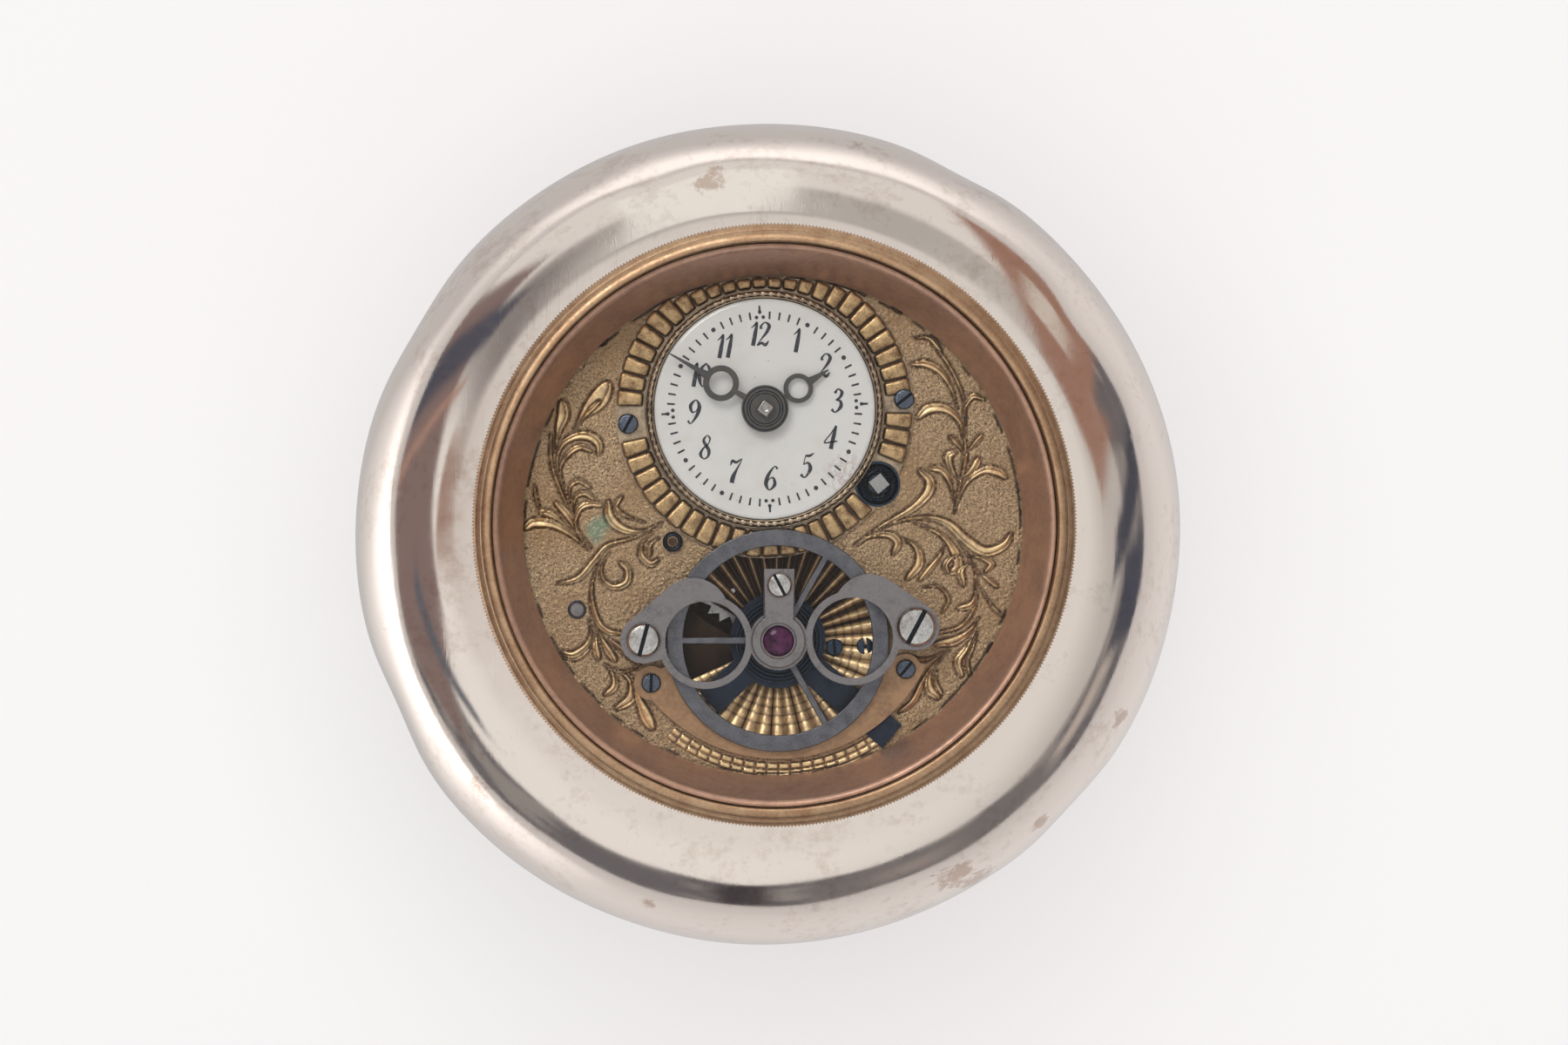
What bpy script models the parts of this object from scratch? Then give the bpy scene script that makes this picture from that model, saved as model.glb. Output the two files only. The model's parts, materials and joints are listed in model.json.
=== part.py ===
"""Walking-stick knob with a key-wound watch set in its top.

The knob stands on its neck: origin at the centre of the neck's bottom face, +Z up through the glass,
+Y towards twelve o'clock on the dial. Sizes below are in millimetres; MM turns them into metres.
"""
import math

import bmesh
import bpy
from mathutils import Matrix, Vector

MM = 0.001

# Driving dimensions of the knob
KNOB_RADIUS = 27.0
KNOB_WIDEST_Z = 24.0
NECK_RADIUS = 11.0
NECK_FILLET_Z = 9.5
FILLET_RADIUS = 2.0
SHOULDER_RADIUS = 20.3
LEDGE_Z = 33.2
LEDGE_HOLE_RADIUS = 18.45
SHELL_WALL = 0.8
CORE_GAP = 0.2
CORE_TOP_Z = 20.0
SOCKET_RADIUS = 6.5
SOCKET_DEPTH = 14.0
COLLAR_RADIUS = 12.2
COLLAR_HEIGHT = 2.2

# Case
CUP_RADIUS = 18.35
CUP_BORE = 17.95
CUP_FLOOR_Z = 20.8
CUP_WALL = 0.5
CUP_TOP_Z = 33.6
FLANGE_Z = 33.25
FLANGE_RADIUS = 18.9
BEZEL_RADIUS = 19.4
BEZEL_BORE = 18.13
BEZEL_TOP_Z = 35.95
GLASS_RADIUS = 18.03
GLASS_BOTTOM_Z = 34.55
GLASS_TOP_Z = 35.85
SEAT_BORE = 17.6
REHAUT_BORE = 16.2
REHAUT_RADIUS = 17.9

# Movement levels
BACK_PLATE_Z = (21.8, 22.8)
BACK_PLATE_RADIUS = 17.4
FRONT_PLATE_Z = (27.8, 29.0)
FRONT_PLATE_RADIUS = 17.85
RECESS_FLOOR_Z = 28.3
PLATE_TOP = FRONT_PLATE_Z[1]
LAYER_GAP = 0.05

# Movement axes, as (x, y)
DIAL_AXIS = (-0.55, 7.55)
BARREL_AXIS = (6.8, 2.7)
FOURTH_AXIS = (-6.5, -1.05)
BALANCE_AXIS = (0.3, -7.45)
DIAL_SCREWS = {"left": (-9.4, 6.6), "right": (8.5, 8.2)}
CRESCENT_SCREWS = {"left": (-7.9, -10.2), "right": (8.6, -9.3)}
BRIDGE_SCREWS = {"left": (-8.4, -7.4), "right": (9.2, -6.55)}
BRIDGE_WINDOWS = {"left": (-4.4, -7.5), "right": (5.1, -7.26)}
BRIDGE_LOBES = {"left": (-5.22, -5.74), "right": (6.2, -5.5)}
CHARIOT_SCREWS = {"inner": (4.0, -7.9), "outer": (6.0, -7.8)}
TAB_SCREW = (0.37, -3.85)
PILLARS = [(-12.7, -5.45), (-11.2, 12.1), (8.2, 14.3), (14.4, -8.1)]

# Dial and hands
DIAL_RADIUS = 7.18
ROPE_RADII = (7.23, 7.66)
TILE_RADII = (5.6, 9.67)
TILE_CLIP_RADIUS = 16.1
TILE_TOP_Z = 29.6
DIAL_Z = (29.65, 30.0)
HOUR_HAND_Z = (30.4, 30.6)
MINUTE_HAND_Z = (30.95, 31.15)
HOUR_HAND_ANGLE = 31.5
MINUTE_HAND_ANGLE = 150.0
DIAL_SQUARE_SIDE = 0.93
WINDING_SQUARE_SIDE = 0.95
WELL_RADIUS = 1.43

# Balance and regulator
BALANCE_RADIUS = 7.2
BALANCE_RIM = 1.07
BALANCE_Z = (29.9, 30.35)
BALANCE_ARMS = (60.0, 180.0, 300.0)
RECESS_RADIUS = 6.9
STAFF_WINDOW_RADIUS = 1.3
BRIDGE_Z = (31.2, 31.8)
BRIDGE_WINDOW_RADIUS = 2.6
BRIDGE_RING_RADIUS = 3.05
REGULATOR_ANGLE = -40.0
REGULATOR_SHORT_ANGLE = 222.0
CRESCENT_CENTRE = (0.32, -4.5)
CRESCENT_RADIUS = 10.63

# Gear train: teeth and the spacing of each pair
BARREL_TEETH, CENTRE_PINION_LEAVES = 60, 8
CENTRE_TEETH, THIRD_PINION_LEAVES, CENTRE_MODULE = 48, 6, 0.2267
THIRD_TEETH, FOURTH_PINION_LEAVES = 45, 6
FOURTH_TEETH, ESCAPE_PINION_LEAVES, FOURTH_MODULE = 48, 6, 0.1867
CANNON_TEETH, MINUTE_TEETH, CANNON_MODULE = 10, 30, 0.144
MINUTE_PINION_LEAVES, HOUR_TEETH = 8, 32
THIRD_DIRECTION = 205.0
ESCAPE_DIRECTION = -39.0
MINUTE_WHEEL_DIRECTION = 150.0
ESCAPE_WHEEL_RADIUS = 2.2
PALLET_DISTANCE = 2.5
PIVOT_CLEARANCE = 0.06

CASE_SIDES = 48
RING_SIDES = 32
ARBOR_SIDES = 10
DRILL_SIDES = 8
SCREW_SIDES = 10


# ---------------------------------------------------------------- plane geometry

def polar(radius, degrees, centre=(0.0, 0.0)):
    angle = math.radians(degrees)
    return (centre[0] + radius * math.cos(angle), centre[1] + radius * math.sin(angle))


def arc(centre, radii, start, end, count):
    """Points on an ellipse arc, both ends included; radii is (along x, along y)."""
    angles = [math.radians(start + (end - start) * i / count) for i in range(count + 1)]
    return [(centre[0] + radii[0] * math.cos(a), centre[1] + radii[1] * math.sin(a)) for a in angles]


def circle(radius, sides, centre=(0.0, 0.0), start=0.0):
    return [polar(radius, start + 360.0 * i / sides, centre) for i in range(sides)]


def box_outline(length, width, degrees=0.0, start=0.0, centre=(0.0, 0.0)):
    """A bar from start to start + length along the given direction, width across it."""
    turn = Matrix.Rotation(math.radians(degrees), 2)
    end, half = start + length, width / 2
    corners = [(start, -half), (end, -half), (end, half), (start, half)]
    return [tuple(Vector(centre) + turn @ Vector(corner)) for corner in corners]


def hull(points):
    """Convex outline round the points, anticlockwise."""
    def half(ordered):
        chain = []
        for x, y in ordered:
            while len(chain) > 1:
                (ax, ay), (bx, by) = chain[-2], chain[-1]
                if (bx - ax) * (y - ay) - (by - ay) * (x - ax) > 1e-9:
                    break
                chain.pop()
            chain.append((x, y))
        return chain[:-1]
    ordered = sorted(set(points))
    return half(ordered) + half(ordered[::-1])


def gear_outline(teeth, module, phase):
    """Pointed teeth, one of them centred on the phase angle in degrees."""
    pitch = 360.0 / teeth
    outer = module * (teeth / 2 + 0.85)
    root = module * (teeth / 2 - 1.35)
    points = []
    for tooth in range(teeth):
        middle = phase + tooth * pitch
        points += [polar(outer, middle), polar(root, middle + pitch / 2)]
    return points


def ratchet_outline(teeth, outer, root, lean):
    """Saw teeth: each tip stands beside the next tooth's root."""
    pitch = 360.0 / teeth
    points = []
    for tooth in range(teeth):
        points += [polar(root, tooth * pitch), polar(outer, (tooth + lean) * pitch)]
    return points


def direction(start, end):
    return math.degrees(math.atan2(end[1] - start[1], end[0] - start[0]))


def distance(start, end):
    return math.hypot(end[0] - start[0], end[1] - start[1])


def relative(point, origin):
    return (point[0] - origin[0], point[1] - origin[1])


# ---------------------------------------------------------------- Blender helpers

MATERIALS = {
    "worn_silver": ((0.66, 0.64, 0.60), 1.0, 0.30),
    "gilt_brass": ((0.72, 0.52, 0.27), 1.0, 0.35),
    "frosted_gilt": ((0.60, 0.45, 0.25), 1.0, 0.55),
    "polished_steel": ((0.56, 0.56, 0.58), 1.0, 0.25),
    "grey_steel": ((0.33, 0.36, 0.42), 1.0, 0.35),
    "blued_steel": ((0.06, 0.10, 0.18), 1.0, 0.30),
    "copper_gilt": ((0.68, 0.43, 0.24), 1.0, 0.45),
    "white_enamel": ((0.86, 0.84, 0.80), 0.0, 0.15),
    "ruby": ((0.25, 0.05, 0.18), 0.0, 0.08),
    "clear_glass": ((0.95, 0.97, 0.98), 0.0, 0.02),
    "stick_wood": ((0.32, 0.19, 0.10), 0.0, 0.60),
}


def material(name):
    found = bpy.data.materials.get(name)
    if found:
        return found
    colour, metallic, roughness = MATERIALS[name]
    made = bpy.data.materials.new(name)
    made.use_nodes = True
    shader = made.node_tree.nodes["Principled BSDF"]
    shader.inputs["Base Color"].default_value = (*colour, 1.0)
    shader.inputs["Metallic"].default_value = metallic
    shader.inputs["Roughness"].default_value = roughness
    if name == "clear_glass":
        shader.inputs["Transmission Weight"].default_value = 1.0
    return made


def finish_mesh(mesh, name, parent, finish):
    """Turn a bmesh in millimetres into an object, with its faces pointing out."""
    bmesh.ops.remove_doubles(mesh, verts=mesh.verts, dist=0.001)
    bmesh.ops.recalc_face_normals(mesh, faces=mesh.faces)
    bmesh.ops.scale(mesh, vec=(MM, MM, MM), verts=mesh.verts)
    data = bpy.data.meshes.new(name)
    mesh.to_mesh(data)
    mesh.free()
    made = bpy.data.objects.new(name, data)
    bpy.context.scene.collection.objects.link(made)
    if finish:
        data.materials.append(material(finish))
    data.shade_smooth()
    data.set_sharp_from_angle(angle=math.radians(35))
    made.parent = parent
    return made


def axis_empty(name, centre):
    """An empty on a vertical joint axis; what turns with it is its child."""
    made = bpy.data.objects.new(name, None)
    made.location = (centre[0] * MM, centre[1] * MM, 0.0)
    bpy.context.scene.collection.objects.link(made)
    return made


def turned(name, profile, finish=None, centre=(0.0, 0.0), sides=ARBOR_SIDES, parent=None):
    """Spin a profile of (radius, height) points about the vertical through centre.

    A profile that starts and ends on the axis makes a solid; any other is closed into a ring.
    """
    mesh = bmesh.new()
    verts = [mesh.verts.new((radius, 0.0, height)) for radius, height in profile]
    edges = [mesh.edges.new(pair) for pair in zip(verts, verts[1:])]
    if profile[0][0] > 0.0:
        edges.append(mesh.edges.new((verts[-1], verts[0])))
    bmesh.ops.spin(mesh, geom=verts + edges, cent=(0, 0, 0), axis=(0, 0, 1), angle=math.tau,
                   steps=sides, use_merge=True)
    bmesh.ops.translate(mesh, vec=(centre[0], centre[1], 0.0), verts=mesh.verts)
    return finish_mesh(mesh, name, parent, finish)


def prism(name, outline, heights, finish=None, holes=(), parent=None):
    """Extrude a flat outline, with any holes, between two heights."""
    mesh = bmesh.new()
    edges = []
    for loop in [outline, *holes]:
        verts = [mesh.verts.new((x, y, heights[0])) for x, y in loop]
        edges += [mesh.edges.new((verts[i - 1], verts[i])) for i in range(len(verts))]
    bmesh.ops.triangle_fill(mesh, use_beauty=True, edges=edges)
    top = bmesh.ops.extrude_face_region(mesh, geom=mesh.faces[:])
    moved = [item for item in top["geom"] if isinstance(item, bmesh.types.BMVert)]
    bmesh.ops.translate(mesh, vec=(0.0, 0.0, heights[1] - heights[0]), verts=moved)
    return finish_mesh(mesh, name, parent, finish)


def apply_tool(target, tool, operation):
    tool.hide_render = True
    tool.display_type = "WIRE"
    tool.parent = target.parent
    step = target.modifiers.new(f"{operation.lower()}_{tool.name}", "BOOLEAN")
    step.operation = operation
    step.solver = "EXACT"
    step.object = tool


def cut(target, *tools):
    for tool in tools:
        apply_tool(target, tool, "DIFFERENCE")


def join(target, *tools):
    for tool in tools:
        apply_tool(target, tool, "UNION")


def drill(target, centre, radius, heights, sides=DRILL_SIDES):
    """Cut a round hole between two heights."""
    number = len(target.modifiers)
    cut(target, prism(f"{target.name}.drill_{number}", circle(radius, sides, centre), heights))


def slotted_screw(name, centre, head_radius, shank_radius, seat_z, head_height, tip_z, slot_angle,
                  finish):
    """A cheese-head screw whose head stands on seat_z, with a cut slot."""
    top = seat_z + head_height
    chamfer = min(0.08, head_height / 4)
    profile = [(0.0, top), (head_radius - chamfer, top), (head_radius, top - chamfer),
               (head_radius, seat_z), (shank_radius, seat_z), (shank_radius, tip_z), (0.0, tip_z)]
    screw = turned(name, profile, finish, centre, SCREW_SIDES)
    slot = box_outline(2.4 * head_radius, 0.26 * head_radius, slot_angle, -1.2 * head_radius, centre)
    cut(screw, prism(f"{name}.slot", slot, (top - 0.45 * head_height, top + 0.3)))
    return screw


# ---------------------------------------------------------------- axes worked out from the gear teeth

def meshed_axis(driver_axis, first_teeth, second_teeth, module, towards):
    return polar((first_teeth + second_teeth) / 2 * module, towards, driver_axis)


THIRD_AXIS = meshed_axis(DIAL_AXIS, CENTRE_TEETH, THIRD_PINION_LEAVES, CENTRE_MODULE, THIRD_DIRECTION)
ESCAPE_AXIS = meshed_axis(FOURTH_AXIS, FOURTH_TEETH, ESCAPE_PINION_LEAVES, FOURTH_MODULE, ESCAPE_DIRECTION)
MINUTE_WHEEL_AXIS = meshed_axis(DIAL_AXIS, CANNON_TEETH, MINUTE_TEETH, CANNON_MODULE, MINUTE_WHEEL_DIRECTION)
PALLET_AXIS = polar(PALLET_DISTANCE, direction(ESCAPE_AXIS, BALANCE_AXIS), ESCAPE_AXIS)
CLICK_AXIS = polar(3.6, -60.0, BARREL_AXIS)


def pair_module(first, second, first_teeth, second_teeth):
    return 2 * distance(first, second) / (first_teeth + second_teeth)


def mating_phase(wheel_axis, pinion_axis, leaves):
    """A pinion's phase that puts a gap on the line of centres."""
    return direction(pinion_axis, wheel_axis) + 180.0 / leaves


# ---------------------------------------------------------------- knob

def shell_profile(inset, shoulder_steps, belly_steps, fillet_steps):
    """Shoulder, belly and neck fillet from top to bottom, moved in by the inset."""
    shoulder = arc((SHOULDER_RADIUS, KNOB_WIDEST_Z),
                   (KNOB_RADIUS - SHOULDER_RADIUS - inset, LEDGE_Z - KNOB_WIDEST_Z - inset),
                   90, 0, shoulder_steps)
    belly_x = NECK_RADIUS + FILLET_RADIUS
    belly = arc((belly_x, KNOB_WIDEST_Z),
                (KNOB_RADIUS - belly_x - inset, KNOB_WIDEST_Z - NECK_FILLET_Z - FILLET_RADIUS - inset),
                0, -90, belly_steps)
    fillet = arc((belly_x, NECK_FILLET_Z), (FILLET_RADIUS + inset,) * 2, 90, 180, fillet_steps)
    return shoulder, belly[1:], fillet[1:]


def make_knob():
    outer = sum(shell_profile(0.0, 5, 5, 2), [])
    inner = sum(shell_profile(SHELL_WALL, 2, 3, 1), [])
    profile = [(LEDGE_HOLE_RADIUS, LEDGE_Z), *outer, (NECK_RADIUS, 0.0), (NECK_RADIUS - SHELL_WALL, 0.0),
               *inner[::-1], (LEDGE_HOLE_RADIUS, LEDGE_Z - SHELL_WALL)]
    turned("knob_shell", profile, "worn_silver", sides=CASE_SIDES)

    collar = [(NECK_RADIUS + 0.06, COLLAR_HEIGHT), (COLLAR_RADIUS - 0.5, COLLAR_HEIGHT),
              (COLLAR_RADIUS, COLLAR_HEIGHT / 2), (COLLAR_RADIUS - 0.5, 0.0), (NECK_RADIUS + 0.06, 0.0)]
    turned("neck_collar", collar, "worn_silver", sides=CASE_SIDES)

    _, belly, fillet = shell_profile(SHELL_WALL + CORE_GAP, 2, 3, 1)
    below_cup = [point for point in belly if point[1] < CORE_TOP_Z - 1.0]
    core_radius = (KNOB_RADIUS - SHELL_WALL - CORE_GAP) * 0.94
    core = [(0.0, CORE_TOP_Z), (core_radius, CORE_TOP_Z), *below_cup, *fillet,
            (NECK_RADIUS - SHELL_WALL - CORE_GAP, 0.0), (SOCKET_RADIUS, 0.0), (SOCKET_RADIUS, SOCKET_DEPTH),
            (0.0, SOCKET_DEPTH)]
    turned("wood_core", core, "stick_wood", sides=CASE_SIDES)


def make_case():
    cup = [(0.0, CUP_FLOOR_Z + CUP_WALL), (CUP_BORE, CUP_FLOOR_Z + CUP_WALL), (CUP_BORE, CUP_TOP_Z),
           (FLANGE_RADIUS, CUP_TOP_Z), (FLANGE_RADIUS, FLANGE_Z), (CUP_RADIUS, FLANGE_Z),
           (CUP_RADIUS, CUP_FLOOR_Z), (0.0, CUP_FLOOR_Z)]
    turned("case_cup", cup, "gilt_brass", sides=CASE_SIDES)

    seat_z = PLATE_TOP + LAYER_GAP
    rehaut = [(REHAUT_BORE, 29.4), (17.75, 33.9), (REHAUT_RADIUS, 33.9), (REHAUT_RADIUS, seat_z),
              (17.4, seat_z), (17.4, 29.4)]
    turned("rehaut_ring", rehaut, "gilt_brass", sides=CASE_SIDES)

    bezel = [(BEZEL_BORE, BEZEL_TOP_Z), (18.95, 35.75), (BEZEL_RADIUS, 35.1), (BEZEL_RADIUS, 33.3),
             (19.0, 33.3), (19.0, 33.75), (BEZEL_BORE, 33.95)]
    turned("bezel_ring", bezel, "gilt_brass", sides=CASE_SIDES)

    seat = [(SEAT_BORE, 34.5), (18.05, 34.5), (18.05, 34.05), (SEAT_BORE, 34.05)]
    turned("crystal_seat_ring", seat, "gilt_brass", sides=CASE_SIDES)

    glass = [(0.0, GLASS_TOP_Z), (17.7, GLASS_TOP_Z), (GLASS_RADIUS, 35.5), (GLASS_RADIUS, GLASS_BOTTOM_Z),
             (0.0, GLASS_BOTTOM_Z)]
    turned("crystal", glass, "clear_glass", sides=CASE_SIDES)


# ---------------------------------------------------------------- plates and pillars

def make_plates():
    bearings = [(DIAL_AXIS, 0.5), (FOURTH_AXIS, 0.3), (ESCAPE_AXIS, 0.15), (PALLET_AXIS, 0.15)]
    holes = [circle(radius + PIVOT_CLEARANCE, ARBOR_SIDES, centre) for centre, radius in bearings]
    screw_holes = [circle(0.42, ARBOR_SIDES, centre) for centre in PILLARS]
    back_only = [circle(0.3, ARBOR_SIDES, THIRD_AXIS), circle(0.65, ARBOR_SIDES, BARREL_AXIS)]
    prism("back_plate", circle(BACK_PLATE_RADIUS, RING_SIDES), BACK_PLATE_Z, "frosted_gilt",
          holes + screw_holes + back_only)

    window = arc(BALANCE_AXIS, (6.3, 6.3), 150, 205, 6) + arc(BALANCE_AXIS, (2.7, 2.7), 205, 150, 3)
    plate = prism("front_plate", circle(FRONT_PLATE_RADIUS, CASE_SIDES), FRONT_PLATE_Z, "frosted_gilt",
                  [*holes, window, circle(0.88, ARBOR_SIDES, BARREL_AXIS),
                   circle(STAFF_WINDOW_RADIUS, ARBOR_SIDES, BALANCE_AXIS)])
    above = PLATE_TOP + 0.3
    below = FRONT_PLATE_Z[0] - 0.3
    drill(plate, DIAL_AXIS, 5.4, (28.4, above), 24)
    drill(plate, BALANCE_AXIS, RECESS_RADIUS, (RECESS_FLOOR_Z, above), 32)
    drill(plate, BARREL_AXIS, WELL_RADIUS, (RECESS_FLOOR_Z, above), 20)
    for centre in PILLARS:
        drill(plate, centre, 0.62, (below, above))
    for centre in [*BRIDGE_SCREWS.values(), *CRESCENT_SCREWS.values(), *DIAL_SCREWS.values()]:
        drill(plate, centre, 0.42, (28.1, above))
    for centre in CHARIOT_SCREWS.values():
        drill(plate, centre, 0.32, (below, above))
    for centre, radius in [(THIRD_AXIS, 0.3), (CLICK_AXIS, 0.26)]:
        drill(plate, centre, radius, (below, 28.35))
    drill(plate, MINUTE_WHEEL_AXIS, 0.3, (28.1, above))

    low, high = BACK_PLATE_Z[1] + LAYER_GAP, FRONT_PLATE_Z[0] - LAYER_GAP
    for number, centre in enumerate(PILLARS, 1):
        body = [(0.0, PLATE_TOP), (0.55, PLATE_TOP), (0.55, high), (1.1, high), (0.8, 26.0), (0.8, 24.4),
                (1.1, low), (0.42, low), (0.42, 24.0), (0.0, 24.0)]
        turned(f"pillar_{number}", body, "gilt_brass", centre)
        screw = [(0.0, 23.7), (0.34, 23.7), (0.34, 21.75), (1.0, 21.75), (1.0, 21.4), (0.0, 21.4)]
        turned(f"pillar_screw_{number}", screw, "blued_steel", centre)


# ---------------------------------------------------------------- dial, hands and motion works

def make_dial():
    tiles = prism("tile_ring", circle(TILE_RADII[1], RING_SIDES, DIAL_AXIS),
                  (PLATE_TOP + LAYER_GAP, TILE_TOP_Z), "gilt_brass",
                  [circle(TILE_RADII[0], 24, DIAL_AXIS)])
    clip = prism("tile_ring.clip", circle(TILE_CLIP_RADIUS, CASE_SIDES), (PLATE_TOP - 1.0, 31.0))
    apply_tool(tiles, clip, "INTERSECT")
    drill(tiles, BARREL_AXIS, WELL_RADIUS + 0.05, (28.5, 30.0), 20)
    for side, centre in DIAL_SCREWS.items():
        drill(tiles, centre, 0.4, (28.5, 30.0))
        slotted_screw(f"dial_screw_{side}", centre, 0.66, 0.34, 29.65, 0.35, 28.3,
                      {"left": 60, "right": 35}[side], "blued_steel")

    bottom, top = DIAL_Z
    rope = [(ROPE_RADII[0], top + 0.15), (ROPE_RADII[1], top + LAYER_GAP), (ROPE_RADII[1], bottom),
            (ROPE_RADII[0], bottom)]
    turned("dial_rope_ring", rope, "gilt_brass", DIAL_AXIS, RING_SIDES)
    dial = [(1.15, top), (6.9, top), (DIAL_RADIUS, top - 0.1), (DIAL_RADIUS, bottom), (1.15, bottom)]
    turned("dial", dial, "white_enamel", DIAL_AXIS, RING_SIDES)


def make_hand(name, axis, angle, heights, hub, bore, moon_distance, moon_radius, moon_hole, tip,
              square_top=None):
    """A moon hand: hub, ring set off along the arm, and a pointed tip."""
    bores = [circle(bore, ARBOR_SIDES)] if bore else ()
    hand = prism(name, circle(hub, 16), heights, "blued_steel", bores, axis)
    arm = hull([*circle(0.26, 8, polar(hub, angle)),
                *circle(0.22, 8, polar(moon_distance - moon_radius, angle))])
    point = hull([*circle(0.3, 8, polar(moon_distance + moon_radius - 0.1, angle)), polar(tip, angle)])
    moon = circle(moon_radius, 16, polar(moon_distance, angle))
    join(hand, prism(f"{name}.arm", arm, heights), prism(f"{name}.moon", moon, heights),
         prism(f"{name}.point", point, heights))
    drill(hand, polar(moon_distance, angle), moon_hole, (heights[0] - 0.2, heights[1] + 0.2), 12)
    if square_top:
        side = DIAL_SQUARE_SIDE
        square = box_outline(side, side, 53.0, -side / 2)
        join(hand, prism(f"{name}.square", square, (heights[0] + 0.05, square_top)))
    return hand


def make_motion_works():
    minute = axis_empty("minute_axis", DIAL_AXIS)
    hour = axis_empty("hour_axis", DIAL_AXIS)
    between = axis_empty("minute_wheel_axis", MINUTE_WHEEL_AXIS)

    pipe = [(0.36, 30.9), (0.58, 30.9), (0.58, 28.5), (0.36, 28.5)]
    cannon = turned("cannon_pinion", pipe, "polished_steel", parent=minute)
    phase = direction(DIAL_AXIS, MINUTE_WHEEL_AXIS)
    teeth = gear_outline(CANNON_TEETH, CANNON_MODULE, phase)
    join(cannon, prism("cannon_pinion.teeth", teeth, (28.52, 28.8), holes=[circle(0.45, ARBOR_SIDES)]))
    make_hand("minute_hand", minute, MINUTE_HAND_ANGLE, MINUTE_HAND_Z, 1.52, 0.0, 3.28, 1.16, 0.77, 7.1,
              square_top=31.95)

    phase = mating_phase(DIAL_AXIS, MINUTE_WHEEL_AXIS, MINUTE_TEETH)
    wheel = prism("minute_wheel", gear_outline(MINUTE_TEETH, CANNON_MODULE, phase), (28.5, 28.75),
                  "gilt_brass", parent=between)
    module = pair_module(DIAL_AXIS, MINUTE_WHEEL_AXIS, HOUR_TEETH, MINUTE_PINION_LEAVES)
    phase = mating_phase(DIAL_AXIS, MINUTE_WHEEL_AXIS, MINUTE_PINION_LEAVES)
    leaves = gear_outline(MINUTE_PINION_LEAVES, module, phase)
    join(wheel, prism("minute_wheel.pinion", leaves, (28.7, 29.25)),
         prism("minute_wheel.pivot", circle(0.24, ARBOR_SIDES), (28.2, 28.6)))

    pipe = [(0.7, 30.75), (0.95, 30.75), (0.95, 28.9), (0.7, 28.9)]
    hour_wheel = turned("hour_wheel", pipe, "gilt_brass", parent=hour)
    teeth = gear_outline(HOUR_TEETH, module, direction(DIAL_AXIS, MINUTE_WHEEL_AXIS))
    join(hour_wheel, prism("hour_wheel.teeth", teeth, (28.92, 29.2), holes=[circle(0.8, ARBOR_SIDES)]))
    make_hand("hour_hand", hour, HOUR_HAND_ANGLE, HOUR_HAND_Z, 1.3, 1.02, 2.54, 0.96, 0.67, 4.85)


# ---------------------------------------------------------------- going train

def make_arbor(name, axis, profile, gears, finish="gilt_brass"):
    """A turned arbor with toothed wheels or pinions joined on, each (outline, heights, holes)."""
    arbor = turned(name, profile, finish, parent=axis)
    for number, (outline, heights, holes) in enumerate(gears):
        join(arbor, prism(f"{name}.gear_{number}", outline, heights, holes=holes))
    return arbor


def shaft(radius, pivot, bottom, top):
    """Profile of a plain arbor between the plates, with a pivot in each."""
    low, high = BACK_PLATE_Z[1] + LAYER_GAP, FRONT_PLATE_Z[0] - LAYER_GAP
    return [(0.0, top), (pivot, top), (pivot, high), (radius, high), (radius, low), (pivot, low),
            (pivot, bottom), (0.0, bottom)]


def crossings(inner, outer, count, share=0.72):
    """Windows between the spokes of a wheel."""
    span = 360.0 / count
    windows = []
    for number in range(count):
        start = number * span + (1 - share) / 2 * span
        end = start + share * span
        windows.append(arc((0, 0), (outer, outer), start, end, 4)
                       + arc((0, 0), (inner, inner), end - 8, start + 8, 1))
    return windows


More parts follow.
